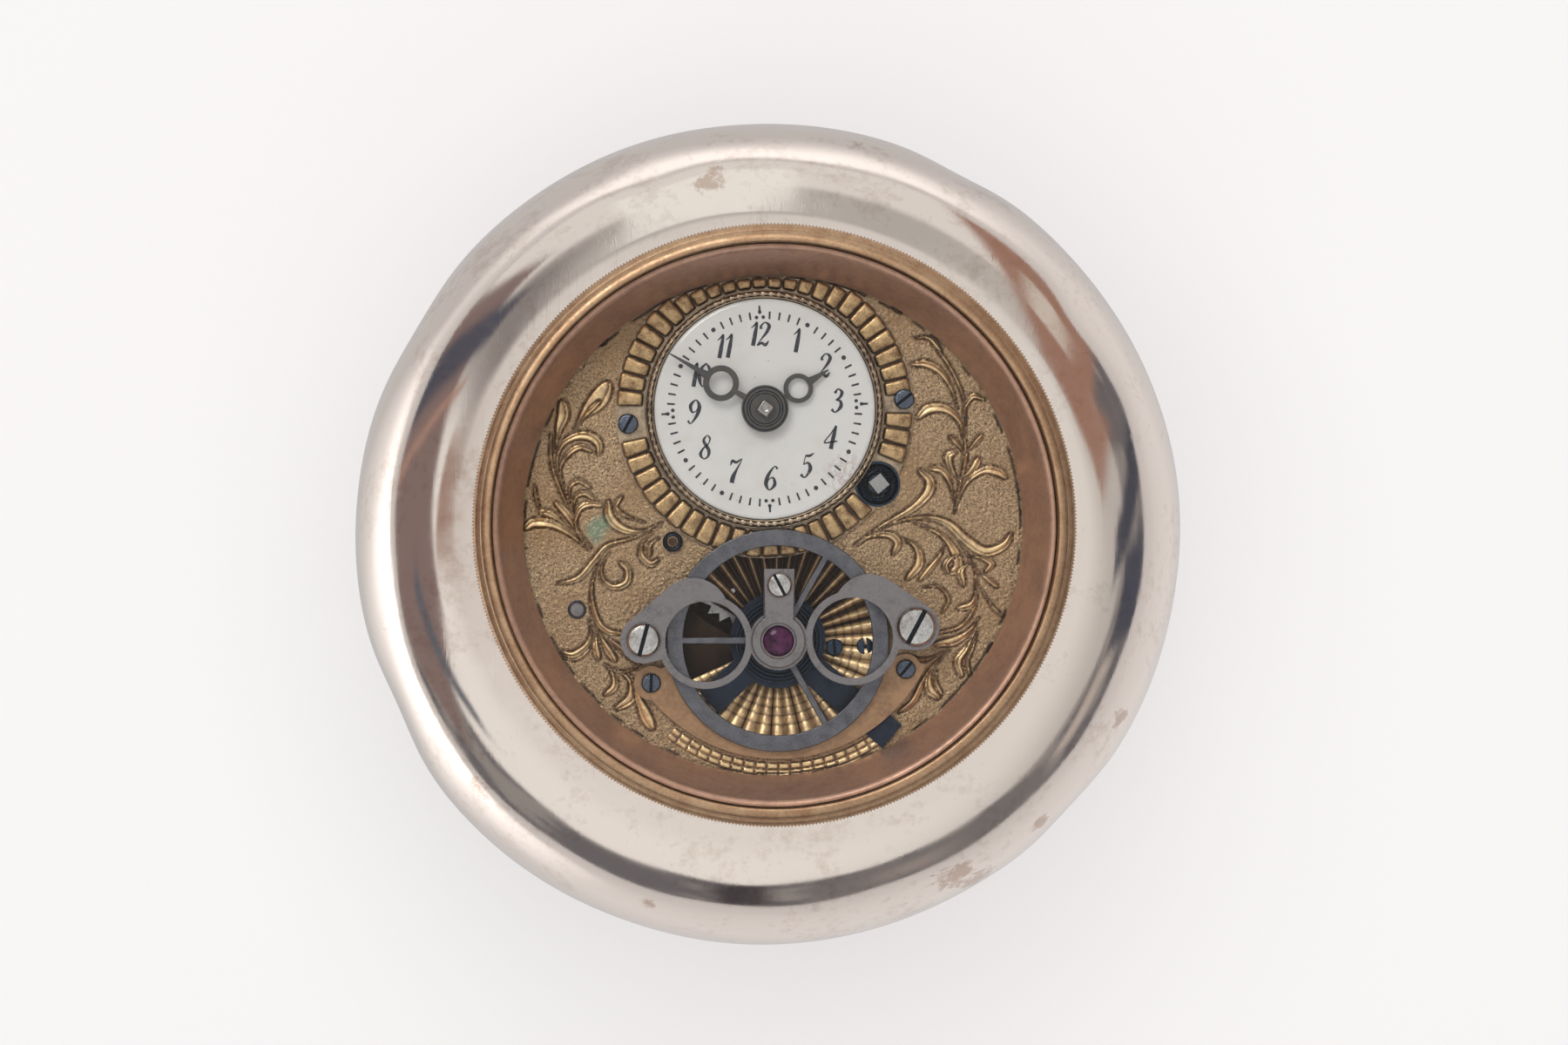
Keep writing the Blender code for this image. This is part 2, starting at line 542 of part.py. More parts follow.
def make_train():
    module = pair_module(BARREL_AXIS, DIAL_AXIS, BARREL_TEETH, CENTRE_PINION_LEAVES)
    winding = axis_empty("winding_axis", BARREL_AXIS)
    barrel = axis_empty("barrel_axis", BARREL_AXIS)

    wall = [(6.6, 25.4), (7.2, 25.4), (7.2, 23.05), (6.6, 23.05)]
    drum = turned("barrel_drum", wall, "gilt_brass", sides=24, parent=barrel)
    teeth = gear_outline(BARREL_TEETH, module, direction(BARREL_AXIS, DIAL_AXIS))
    join(drum, prism("barrel_drum.floor", teeth, (23.0, 23.4), holes=[circle(0.66, ARBOR_SIDES)]))
    prism("barrel_cover", circle(7.2, 24), (25.45, 25.8), "gilt_brass", [circle(0.88, ARBOR_SIDES)], barrel)
    coil = spiral_outline(1.9, 6.2, 4, 0.16, 14, 0.0)
    prism("mainspring", coil, (23.55, 25.3), "grey_steel", parent=barrel)

    core = [(0.0, 28.75), (0.8, 28.75), (0.8, 25.4), (1.6, 25.35), (1.6, 23.5), (0.6, 23.45), (0.6, 22.0),
            (0.0, 22.0)]
    arbor = turned("barrel_arbor", core, "polished_steel", parent=winding)
    side = WINDING_SQUARE_SIDE
    join(arbor, prism("barrel_arbor.square", box_outline(side, side, 39.0, -side / 2), (28.5, 32.0)))
    prism("ratchet_wheel", ratchet_outline(20, 2.5, 2.15, 0.85), (26.6, 26.9), "polished_steel",
          [circle(0.86, ARBOR_SIDES)], winding)
    rim = WELL_RADIUS - 0.08
    washer = [(0.92, 28.6), (rim, 28.6), (rim, 28.35), (0.92, 28.35)]
    turned("winding_well_ring", washer, "blued_steel", BARREL_AXIS, 20)

    phase = mating_phase(BARREL_AXIS, DIAL_AXIS, CENTRE_PINION_LEAVES)
    pinion = gear_outline(CENTRE_PINION_LEAVES, module, phase)
    wheel = gear_outline(CENTRE_TEETH, CENTRE_MODULE, direction(DIAL_AXIS, THIRD_AXIS))
    centre_arbor = [(0.0, 30.7), (0.3, 30.7), (0.3, 28.45), (0.48, 28.4), (0.48, 22.0), (0.0, 22.0)]
    make_arbor("centre_wheel", axis_empty("centre_axis", DIAL_AXIS), centre_arbor, [
        (pinion, (22.95, 23.6), ()), (wheel, (26.9, 27.2), crossings(1.6, 4.6, 4))])

    third_module = pair_module(THIRD_AXIS, FOURTH_AXIS, THIRD_TEETH, FOURTH_PINION_LEAVES)
    pinion = gear_outline(THIRD_PINION_LEAVES, CENTRE_MODULE,
                          mating_phase(DIAL_AXIS, THIRD_AXIS, THIRD_PINION_LEAVES))
    wheel = gear_outline(THIRD_TEETH, third_module, direction(THIRD_AXIS, FOURTH_AXIS))
    make_arbor("third_wheel", axis_empty("third_axis", THIRD_AXIS), shaft(0.4, 0.24, 22.1, 28.2), [
        (pinion, (26.55, 27.4), ()), (wheel, (26.15, 26.45), crossings(1.5, 4.4, 4))])

    pinion = gear_outline(FOURTH_PINION_LEAVES, third_module,
                          mating_phase(THIRD_AXIS, FOURTH_AXIS, FOURTH_PINION_LEAVES))
    wheel = gear_outline(FOURTH_TEETH, FOURTH_MODULE, direction(FOURTH_AXIS, ESCAPE_AXIS))
    make_arbor("fourth_wheel", axis_empty("fourth_axis", FOURTH_AXIS), shaft(0.4, 0.3, 22.1, 29.5), [
        (pinion, (25.9, 26.7), ()), (wheel, (24.0, 24.3), crossings(1.4, 3.7, 4))])
    seat_z = PLATE_TOP + LAYER_GAP
    bush = [(0.38, 29.45), (0.55, 29.45), (0.63, 29.35), (0.63, seat_z), (0.38, seat_z)]
    turned("fourth_wheel_bush", bush, "gilt_brass", FOURTH_AXIS)

    pinion = gear_outline(ESCAPE_PINION_LEAVES, FOURTH_MODULE,
                          mating_phase(FOURTH_AXIS, ESCAPE_AXIS, ESCAPE_PINION_LEAVES))
    teeth = ratchet_outline(15, ESCAPE_WHEEL_RADIUS, 1.7, 0.3)
    make_arbor("escape_wheel", axis_empty("escape_axis", ESCAPE_AXIS), shaft(0.28, 0.15, 22.1, 28.2), [
        (pinion, (23.7, 24.6), ()), (teeth, (25.2, 25.5), crossings(0.6, 1.4, 3))], "polished_steel")


def spiral_outline(inner, outer, turns, thickness, points_per_turn, start):
    """A flat strip wound as a spiral: out along one side and back along the other."""
    count = int(turns * points_per_turn)
    near, far = [], []
    for i in range(count + 1):
        radius = inner + (outer - inner) * i / count
        angle = start + 360.0 * i / points_per_turn
        near.append(polar(radius, angle))
        far.append(polar(radius + thickness, angle))
    return near + far[::-1]


def make_click():
    axis = axis_empty("click_axis", CLICK_AXIS)
    tip = relative(polar(2.74, -15.0, BARREL_AXIS), CLICK_AXIS)
    blade = hull([*circle(0.55, 12), *circle(0.18, 8, tip)])
    click = prism("click", blade, (26.6, 26.9), "polished_steel", parent=axis)
    join(click, prism("click.pin", circle(0.2, 10), (26.7, 28.2)))

    spring_foot = polar(2.6, -62.0, CLICK_AXIS)
    strip = arc(CLICK_AXIS, (2.6, 2.6), -62, 50, 7) + arc(CLICK_AXIS, (2.48, 2.48), 50, -62, 7)
    spring = prism("click_spring", circle(0.5, 12, spring_foot), (26.6, 26.85), "blued_steel")
    join(spring, prism("click_spring.blade", strip, (26.62, 26.83)),
         prism("click_spring.post", circle(0.3, 10, spring_foot), (26.7, FRONT_PLATE_Z[0] - LAYER_GAP)))


# ---------------------------------------------------------------- escapement, balance and regulator

def make_pallet_lever():
    axis = axis_empty("pallet_axis", PALLET_AXIS)
    to_escape = direction(PALLET_AXIS, ESCAPE_AXIS)
    to_balance = to_escape + 180.0
    reach = distance(PALLET_AXIS, BALANCE_AXIS) - 0.78
    lever = turned("pallet_lever", shaft(0.25, 0.15, 22.1, 28.2), "polished_steel", parent=axis)
    arms = [(to_escape - 62.0, 1.25), (to_escape + 62.0, 1.25), (to_balance, reach)]
    outline = []
    for (angle, length), (following, _) in zip(arms, [*arms[1:], (arms[0][0] + 360.0, 0.0)]):
        outline += box_outline(length, 0.3, angle)[1:3]
        outline.append(polar(0.33, (angle + following) / 2))
    join(lever, prism("pallet_lever.arms", outline, (25.65, 25.9)))
    for number, turn in enumerate((62.0, -62.0)):
        stone = circle(0.11, 6, polar(1.05, to_escape + turn))
        join(lever, prism(f"pallet_lever.stone_{number}", stone, (25.2, 25.8)))


def make_balance():
    axis = axis_empty("balance_axis", BALANCE_AXIS)
    outer, inner = BALANCE_RADIUS, BALANCE_RADIUS - BALANCE_RIM
    windows = []
    for start, end in zip(BALANCE_ARMS, BALANCE_ARMS[1:] + (BALANCE_ARMS[0] + 360.0,)):
        windows.append(arc((0, 0), (inner, inner), start + 2.2, end - 2.2, 9)
                       + arc((0, 0), (1.0, 1.0), end - 14, start + 14, 3))
    prism("balance_wheel", circle(outer, RING_SIDES), BALANCE_Z, "grey_steel",
          [*windows, circle(0.42, ARBOR_SIDES)], axis)

    staff = [(0.0, 31.7), (0.12, 31.7), (0.12, 31.1), (0.38, 31.05), (0.38, 26.6), (0.8, 26.6), (0.8, 26.35),
             (0.2, 26.3), (0.12, 25.7), (0.12, 25.05), (0.0, 25.05)]
    made = turned("balance_staff", staff, "polished_steel", parent=axis)
    pin = circle(0.09, 8, polar(0.55, direction(BALANCE_AXIS, PALLET_AXIS)))
    join(made, prism("balance_staff.roller_pin", pin, (25.7, 26.5)))

    x, y = BALANCE_AXIS
    foot = [(3.2, y - 0.95), (6.8, y - 0.95), (6.8, y + 0.95), (3.2, y + 0.95)]
    arm = [(x - 1.0, y - 0.8), (3.6, y - 0.8), (3.6, y + 0.8), (x - 1.0, y + 0.8)]
    chariot = prism("balance_chariot", foot, (24.9, FRONT_PLATE_Z[0] - LAYER_GAP), "gilt_brass")
    join(chariot, prism("balance_chariot.arm", arm, (24.92, 25.5)))
    drill(chariot, BALANCE_AXIS, 0.18, (24.7, 25.8))
    for place, centre in CHARIOT_SCREWS.items():
        drill(chariot, centre, 0.32, (26.8, 28.0))
        slotted_screw(f"chariot_screw_{place}", centre, 0.55, 0.24, RECESS_FLOOR_Z + LAYER_GAP, 0.4,
                      27.0, 20, "blued_steel")

    spring = [(x + px, y + py) for px, py in spiral_outline(0.75, 2.75, 5, 0.07, 12, 75.0)]
    prism("hairspring", spring, (29.45, 29.62), "blued_steel")
    foot_z = RECESS_FLOOR_Z + LAYER_GAP
    stud = [(0.0, 29.8), (0.22, 29.8), (0.22, foot_z), (0.0, foot_z)]
    turned("hairspring_stud", stud, "polished_steel", polar(3.45, 75.0, BALANCE_AXIS))


def make_bridge():
    bridge = prism("balance_bridge", circle(1.9, 16, BALANCE_AXIS), BRIDGE_Z, "polished_steel")
    x, y = BALANCE_AXIS
    tab = [(x - 0.95, y), (x + 1.05, y), (x + 1.05, -2.85), (x - 0.95, -2.85)]
    join(bridge, prism("balance_bridge.tab", tab, BRIDGE_Z))
    for side, screw in BRIDGE_SCREWS.items():
        window = BRIDGE_WINDOWS[side]
        lobe = hull([*circle(1.5, 12, screw), *circle(2.35, 16, BRIDGE_LOBES[side])])
        ring = circle(BRIDGE_RING_RADIUS, 24, window)
        join(bridge, prism(f"balance_bridge.ring_{side}", ring, BRIDGE_Z),
             prism(f"balance_bridge.lobe_{side}", lobe, BRIDGE_Z),
             prism(f"balance_bridge.foot_{side}", circle(1.2, 10, screw), (PLATE_TOP + LAYER_GAP, 31.4)))
    for side, screw in BRIDGE_SCREWS.items():
        drill(bridge, BRIDGE_WINDOWS[side], BRIDGE_WINDOW_RADIUS, (31.0, 32.0), 24)
        drill(bridge, screw, 0.5, (28.9, 32.0))
        head = {"left": 1.07, "right": 1.24}[side]
        slotted_screw(f"bridge_screw_{side}", screw, head, 0.36, BRIDGE_Z[1] + LAYER_GAP, 0.5, 28.3,
                      {"left": 75, "right": 65}[side], "polished_steel")
    drill(bridge, BALANCE_AXIS, 0.18, (31.0, 32.0))
    drill(bridge, TAB_SCREW, 0.3, (31.0, 32.0))

    level = (BRIDGE_Z[1] + LAYER_GAP, BRIDGE_Z[1] + 0.4)
    cap = prism("endstone_cap", circle(1.7, 20, BALANCE_AXIS), level, "polished_steel")
    tab = [(x - 0.85, y), (x + 0.95, y), (x + 1.05, -2.8), (x - 0.95, -2.8)]
    join(cap, prism("endstone_cap.tab", tab, level))
    drill(cap, BALANCE_AXIS, 1.05, (31.7, 32.4), 20)
    drill(cap, TAB_SCREW, 0.3, (31.7, 32.4))
    slotted_screw("endstone_screw", TAB_SCREW, 0.78, 0.22, level[1] + LAYER_GAP, 0.35, 31.3, 115,
                  "polished_steel")
    stone = [(0.0, 32.35), (0.5, 32.3), (0.85, 32.15), (1.0, 31.9), (1.0, 31.85), (0.0, 31.85)]
    turned("ruby_endstone", stone, "ruby", BALANCE_AXIS, 20)


def make_regulator():
    axis = axis_empty("regulator_axis", BALANCE_AXIS)
    level = (PLATE_TOP + LAYER_GAP, PLATE_TOP + 0.3)
    index = prism("regulator_index", circle(3.1, 24), level, "blued_steel", [circle(1.5, 20)], axis)
    join(index, prism("regulator_index.tail", box_outline(7.2, 1.9, REGULATOR_ANGLE, 2.5), level),
         prism("regulator_index.arm", box_outline(3.5, 1.9, REGULATOR_SHORT_ANGLE, 2.5), level))

    outline = (arc(CRESCENT_CENTRE, (CRESCENT_RADIUS,) * 2, 209, 336, 16)
               + arc(BALANCE_AXIS, (6.95, 6.95), -10, -165, 16))
    level = (PLATE_TOP + 0.35, PLATE_TOP + 0.65)
    crescent = prism("index_crescent", outline, level, "copper_gilt")
    for side, centre in CRESCENT_SCREWS.items():
        foot = circle(0.75, 14, centre)
        join(crescent, prism(f"index_crescent.foot_{side}", foot, (PLATE_TOP + LAYER_GAP, level[1] - 0.02)))
        drill(crescent, centre, 0.4, (28.8, 30.0))
        slotted_screw(f"crescent_screw_{side}", centre, 0.62, 0.34, level[1] + LAYER_GAP, 0.35, 28.3,
                      {"left": 85, "right": 55}[side], "blued_steel")


for leftover in list(bpy.data.objects):
    bpy.data.objects.remove(leftover, do_unlink=True)
make_knob()
make_case()
make_plates()
make_dial()
make_motion_works()
make_train()
make_click()
make_pallet_lever()
make_balance()
make_bridge()
make_regulator()
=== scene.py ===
"""Looks of the walking-stick knob watch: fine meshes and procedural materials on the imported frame."""
import json
import math
import random

import bmesh
import bpy
import numpy as np
from mathutils import Matrix, Vector

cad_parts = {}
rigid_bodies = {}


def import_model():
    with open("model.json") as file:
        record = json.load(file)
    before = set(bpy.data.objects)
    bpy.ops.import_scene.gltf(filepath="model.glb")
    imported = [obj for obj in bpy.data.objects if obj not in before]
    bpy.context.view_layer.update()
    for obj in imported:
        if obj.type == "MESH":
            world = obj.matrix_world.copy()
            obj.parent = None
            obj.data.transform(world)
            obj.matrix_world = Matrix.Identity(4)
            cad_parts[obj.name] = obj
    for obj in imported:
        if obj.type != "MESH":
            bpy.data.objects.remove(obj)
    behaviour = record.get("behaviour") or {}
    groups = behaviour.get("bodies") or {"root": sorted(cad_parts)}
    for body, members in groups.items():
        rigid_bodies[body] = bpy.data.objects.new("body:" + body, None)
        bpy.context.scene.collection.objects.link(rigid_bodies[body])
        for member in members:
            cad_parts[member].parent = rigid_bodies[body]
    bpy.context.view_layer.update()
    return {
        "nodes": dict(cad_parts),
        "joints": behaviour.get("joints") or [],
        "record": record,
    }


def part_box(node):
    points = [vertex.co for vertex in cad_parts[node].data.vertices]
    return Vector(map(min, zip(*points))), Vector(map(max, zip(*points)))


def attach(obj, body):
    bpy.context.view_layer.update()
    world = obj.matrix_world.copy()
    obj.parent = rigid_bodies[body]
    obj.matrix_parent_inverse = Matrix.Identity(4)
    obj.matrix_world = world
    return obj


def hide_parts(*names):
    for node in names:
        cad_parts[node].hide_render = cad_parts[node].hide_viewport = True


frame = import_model()
random.seed(7)
MM = 0.001
SIDES = ("left", "right")


# ---------------------------------------------------------------- where the CAD parts are, in millimetres

def low(node):
    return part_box(node)[0] / MM


def high(node):
    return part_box(node)[1] / MM


def centre(node):
    middle = (low(node) + high(node)) / 2
    return (middle.x, middle.y)


def radius(node):
    return (high(node).x - low(node).x) / 2


def joint_axis(name):
    found = next(joint for joint in frame["joints"] if joint["name"] == name)
    return (found["pos_m"][0] / MM, found["pos_m"][1] / MM)


DIAL = joint_axis("centre_turn")
BALANCE = joint_axis("balance_swing")
WINDING = joint_axis("winding_turn")
FOURTH = joint_axis("fourth_turn")
PLATE_TOP = high("front_plate").z
PLATE_EDGE = 16.2
CRESCENT_CENTRE = (0.32, -4.5)
SCALE_CENTRE = (0.35, -4.6)


# ---------------------------------------------------------------- geometry helpers (millimetres)

def polar(distance, degrees, about=(0.0, 0.0)):
    angle = math.radians(degrees)
    return (about[0] + distance * math.cos(angle), about[1] + distance * math.sin(angle))


def arc(about, distance, start, end, count):
    return [polar(distance, start + (end - start) * i / count, about) for i in range(count + 1)]


def ellipse_arc(about, radii, start, end, count):
    angles = [math.radians(start + (end - start) * i / count) for i in range(count + 1)]
    return [(about[0] + radii[0] * math.cos(a), about[1] + radii[1] * math.sin(a)) for a in angles]


def circle(distance, sides, about=(0.0, 0.0)):
    return arc(about, distance, 0.0, 360.0, sides)[:-1]


def bar(length, width, degrees=0.0, start=0.0, about=(0.0, 0.0)):
    turn = Matrix.Rotation(math.radians(degrees), 2)
    end, half = start + length, width / 2
    corners = [(start, -half), (end, -half), (end, half), (start, half)]
    return [tuple(Vector(about) + turn @ Vector(corner)) for corner in corners]


def hull(points):
    def half(ordered):
        chain = []
        for x, y in ordered:
            while len(chain) > 1:
                (ax, ay), (bx, by) = chain[-2], chain[-1]
                if (bx - ax) * (y - ay) - (by - ay) * (x - ax) > 1e-9:
                    break
                chain.pop()
            chain.append((x, y))
        return chain[:-1]
    ordered = sorted(set(points))
    return half(ordered) + half(ordered[::-1])


def smooth(values, low_edge, high_edge):
    t = np.clip((values - low_edge) / (high_edge - low_edge), 0.0, 1.0)
    return t * t * (3 - 2 * t)


def line_at(gap, width):
    """1 on a line and falling off with the distance from it."""
    return np.exp(-(gap / width) ** 2)


def spline(points, samples):
    """Catmull-Rom through points of any dimension."""
    points = np.array(points, float)
    padded = np.vstack([2 * points[0] - points[1], points, 2 * points[-1] - points[-2]])
    result = []
    for i in range(len(points) - 1):
        p0, p1, p2, p3 = padded[i:i + 4]
        for t in np.arange(samples) / samples:
            result.append(0.5 * (2 * p1 + (p2 - p0) * t + (2 * p0 - 5 * p1 + 4 * p2 - p3) * t * t
                                 + (3 * p1 - p0 - 3 * p2 + p3) * t ** 3))
    result.append(points[-1])
    return np.array(result)


def tangents(spine):
    along = np.gradient(spine, axis=0)
    return along / np.maximum(np.linalg.norm(along, axis=1, keepdims=True), 1e-9)


def add_object(name, mesh, finish, body="root", stands_for=(), sharp=35.0, weld=True):
    """Turn a bmesh in millimetres into a finished piece riding on its body."""
    if weld:
        bmesh.ops.remove_doubles(mesh, verts=mesh.verts, dist=0.0008)
    bmesh.ops.recalc_face_normals(mesh, faces=mesh.faces)
    made = plain_object(name, mesh)
    made.data.transform(Matrix.Scale(MM, 4))
    made.data.shade_smooth()
    made.data.set_sharp_from_angle(angle=math.radians(sharp))
    made.data.materials.append(MATERIAL[finish])
    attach(made, body)
    if stands_for:
        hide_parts(*stands_for)
    return made


def plain_object(name, mesh):
    data = bpy.data.meshes.new(name)
    mesh.to_mesh(data)
    mesh.free()
    made = bpy.data.objects.new(name, data)
    bpy.context.scene.collection.objects.link(made)
    return made


def ring_of(mesh, points, height):
    return [mesh.verts.new((x, y, height)) for x, y in points]


def skin(mesh, rings, around=False):
    """Walls between neighbouring rings of verts; the last joins the first, or else both are capped."""
    for first, second in zip(rings, rings[1:] + rings[:1] if around else rings[1:]):
        for j, vert in enumerate(first):
            k = (j + 1) % len(first)
            mesh.faces.new((vert, first[k], second[k], second[j]))
    if not around:
        mesh.faces.new(rings[0][::-1])
        mesh.faces.new(rings[-1])


def lathe_mesh(profile, sides, about=(0.0, 0.0)):
    mesh = bmesh.new()
    verts = [mesh.verts.new((distance, 0.0, height)) for distance, height in profile]
    edges = [mesh.edges.new(pair) for pair in zip(verts, verts[1:])]
    if profile[0][0] > 0.0:
        edges.append(mesh.edges.new((verts[-1], verts[0])))
    bmesh.ops.spin(mesh, geom=verts + edges, cent=(0, 0, 0), axis=(0, 0, 1), angle=math.tau, steps=sides,
                   use_merge=True)
    bmesh.ops.translate(mesh, vec=(about[0], about[1], 0.0), verts=mesh.verts)
    return mesh


def turned(name, profile, finish, body="root", stands_for=(), about=(0.0, 0.0), sides=192):
    return add_object(name, lathe_mesh(profile, sides, about), finish, body, stands_for)


def prism_mesh(outline, heights, holes=()):
    mesh = bmesh.new()
    edges = []
    for loop in [outline, *holes]:
        verts = ring_of(mesh, loop, heights[0])
        edges += [mesh.edges.new((verts[i - 1], verts[i])) for i in range(len(verts))]
    bmesh.ops.triangle_fill(mesh, use_beauty=True, edges=edges)
    top = bmesh.ops.extrude_face_region(mesh, geom=mesh.faces[:])
    moved = [item for item in top["geom"] if isinstance(item, bmesh.types.BMVert)]
    bmesh.ops.translate(mesh, vec=(0.0, 0.0, heights[1] - heights[0]), verts=moved)
    bmesh.ops.recalc_face_normals(mesh, faces=mesh.faces)
    return mesh


def close_below(mesh, level):
    """Close an open relief: walls from its free edges down to a flat underside."""
    free = [edge for edge in mesh.edges if edge.is_boundary]
    made = bmesh.ops.extrude_edge_only(mesh, edges=free)["geom"]
    lower = {item for item in made if isinstance(item, bmesh.types.BMVert)}
    for vert in lower:
        vert.co.z = level
    loops = [item for item in made if isinstance(item, bmesh.types.BMEdge) and set(item.verts) <= lower]
    bmesh.ops.triangle_fill(mesh, use_beauty=True, edges=loops, normal=(0.0, 0.0, -1.0))


def combined(base_mesh, steps):
    """What is left of a base mesh after joining on or cutting away each (operation, tool mesh)."""
    base = plain_object("base", base_mesh)
    items = [base]
    for operation, tool_mesh in steps:
        tool = plain_object("tool", tool_mesh)
        step = base.modifiers.new("step", "BOOLEAN")
        step.operation, step.solver, step.object = operation, "EXACT", tool
        items.append(tool)
    bpy.context.view_layer.update()
    graph = bpy.context.evaluated_depsgraph_get()
    data = bpy.data.meshes.new_from_object(base.evaluated_get(graph))
    for item in items:
        bpy.data.objects.remove(item)
    mesh = bmesh.new()
    mesh.from_mesh(data)
    bpy.data.meshes.remove(data)
    return mesh


def carved(name, outline, heights, finish, body="root", stands_for=(), holes=(), joins=(), cuts=(),
           bevel=0.04):
    """A flat part: an outline with prisms joined on and cut away, then its edges bevelled.

    joins and cuts hold (outline, heights).
    """
    steps = [("UNION", prism_mesh(*shape)) for shape in joins]
    steps += [("DIFFERENCE", prism_mesh(*shape)) for shape in cuts]
    mesh = combined(prism_mesh(outline, heights, holes), steps)
    bmesh.ops.remove_doubles(mesh, verts=mesh.verts, dist=0.002)
    bmesh.ops.dissolve_limit(mesh, angle_limit=math.radians(1.0), verts=mesh.verts, edges=mesh.edges)
    made = add_object(name, mesh, finish, body, stands_for, weld=False)
    if bevel:
        edge = made.modifiers.new("edge", "BEVEL")
        edge.width, edge.segments, edge.limit_method = bevel * MM, 3 if bevel > 0.04 else 2, "ANGLE"
        edge.angle_limit = math.radians(40)
        edge.harden_normals = True
    return made


def screw(node, seat, head, slot_angle, finish, dome=0.05):
    """A domed, slotted screw head of (radius, height) standing for a CAD screw, with painted shadow in its
    slot.
    """
    about = centre(node)
    head_radius, head_height = head
    top = seat + head_height
    slot_floor = top - 0.7 * head_height
    crown = [(head_radius * (1 - t), top + dome * (1 - (1 - t) ** 2)) for t in np.linspace(0.12, 1.0, 10)]
    profile = [(0.0, seat), (head_radius, seat), (head_radius, top - 0.12 * head_radius), *crown[:-1],
               (0.0, top + dome)]
    slot = bar(2.6 * head_radius, max(0.25 * head_radius, 0.2), slot_angle, -1.3 * head_radius, about)
    slot_tool = prism_mesh(slot, (slot_floor, top + dome + 0.5))
    mesh = combined(lathe_mesh(profile, 48, about), [("DIFFERENCE", slot_tool)])
    # painted shadow: verts on the slot floor are marked in the cuts layer, which the metal paints near black
    painted_slot_shadow = mesh.verts.layers.float.new("cuts")
    for vert in mesh.verts:
        vert[painted_slot_shadow] = float(abs(vert.co.z - slot_floor) < 0.01)
    return add_object(f"{node}_fine", mesh, finish, "root", [node], sharp=30.0)


# ---------------------------------------------------------------- materials

MATERIAL = {}
SLOT = {}


class Nodes:
    """Small helper for building one node tree; its lengths are multiples of unit, which is in metres."""

    def __init__(self, tree, coordinates, unit):
        self.tree, self.unit = tree, unit
        self.place = self.node("ShaderNodeTexCoord").outputs[coordinates]

    def node(self, kind, **settings):
        made = self.tree.nodes.new(kind)
        for key, value in settings.items():
            setattr(made, key, value)
        return made

    def put(self, source, socket):
        """Link a socket to another, or set its constant; a colour comes without its alpha."""
        if isinstance(source, bpy.types.NodeSocket):
            self.tree.links.new(source, socket)
        elif isinstance(source, tuple) and socket.type == "RGBA":
            socket.default_value = (*source, 1.0)
        else:
            socket.default_value = source

    def mapped(self, scale, turn=0.0):
        mapping = self.node("ShaderNodeMapping")
        mapping.inputs["Scale"].default_value = scale
        mapping.inputs["Rotation"].default_value = (0, 0, turn)
        self.put(self.place, mapping.inputs["Vector"])
        return mapping.outputs["Vector"]

    def noise(self, size, detail=4.0, roughness=0.55, distortion=0.0, vector=None):
        made = self.node("ShaderNodeTexNoise")
        self.put(1.0 / (size * self.unit), made.inputs["Scale"])
        self.put(detail, made.inputs["Detail"])
        self.put(roughness, made.inputs["Roughness"])
        self.put(distortion, made.inputs["Distortion"])
        self.put(vector or self.place, made.inputs["Vector"])
        return made.outputs["Fac"]

    def distance_to(self, *point):
        made = self.node("ShaderNodeVectorMath", operation="DISTANCE")
        self.put(self.place, made.inputs[0])
        made.inputs[1].default_value = [value * self.unit for value in point]
        return self.math("DIVIDE", made.outputs["Value"], self.unit)

    def ramp(self, source, *stops):
        """A colour ramp through (position, grey or colour) stops."""
        made = self.node("ShaderNodeValToRGB")
        elements = made.color_ramp.elements
        while len(elements) < len(stops):
            elements.new(0.5)
        for element, (position, value) in zip(elements, stops):
            element.position = position
            element.color = (*value, 1.0) if isinstance(value, tuple) else (value, value, value, 1.0)
        self.put(source, made.inputs["Fac"])
        return made.outputs["Color"]

    def step(self, value, start, end):
        made = self.node("ShaderNodeMapRange", interpolation_type="SMOOTHSTEP")
        self.put(start, made.inputs["From Min"])
        self.put(end, made.inputs["From Max"])
        self.put(value, made.inputs["Value"])
        return made.outputs[0]

    def mix(self, factor, first, second, blend="MIX"):
        made = self.node("ShaderNodeMix", data_type="RGBA", blend_type=blend)
        for source, socket in ((factor, made.inputs[0]), (first, made.inputs[6]), (second, made.inputs[7])):
            self.put(source, socket)
        return made.outputs[2]

    def math(self, operation, *values):
        made = self.node("ShaderNodeMath", operation=operation)
        for source, socket in zip(values, made.inputs):
            self.put(source, socket)
        return made.outputs[0]

    def bump(self, height, strength, distance, normal=None):
        made = self.node("ShaderNodeBump")
        self.put(strength, made.inputs["Strength"])
        self.put(distance * self.unit, made.inputs["Distance"])
        self.put(height, made.inputs["Height"])
        if normal:
            self.put(normal, made.inputs["Normal"])
        return made.outputs["Normal"]

    def attribute(self, name):
        return self.node("ShaderNodeAttribute", attribute_name=name).outputs["Fac"]

    # ambient occlusion, used to paint shade into hollows
    def cavity(self, distance):
        made = self.node("ShaderNodeAmbientOcclusion", samples=6)
        self.put(distance * self.unit, made.inputs["Distance"])
        return made.outputs["AO"]


class Shader(Nodes):
    """The node tree of one material, in millimetres unless told otherwise."""

    def __init__(self, name, slot, unit=MM):
        material = bpy.data.materials.new(name)
        material.use_nodes = True
        super().__init__(material.node_tree, "Object", unit)
        self.bsdf = self.tree.nodes["Principled BSDF"]
        MATERIAL[name], SLOT[name] = material, slot

    def surface(self, values):
        for name, value in values.items():
            self.put(value, self.bsdf.inputs[name])


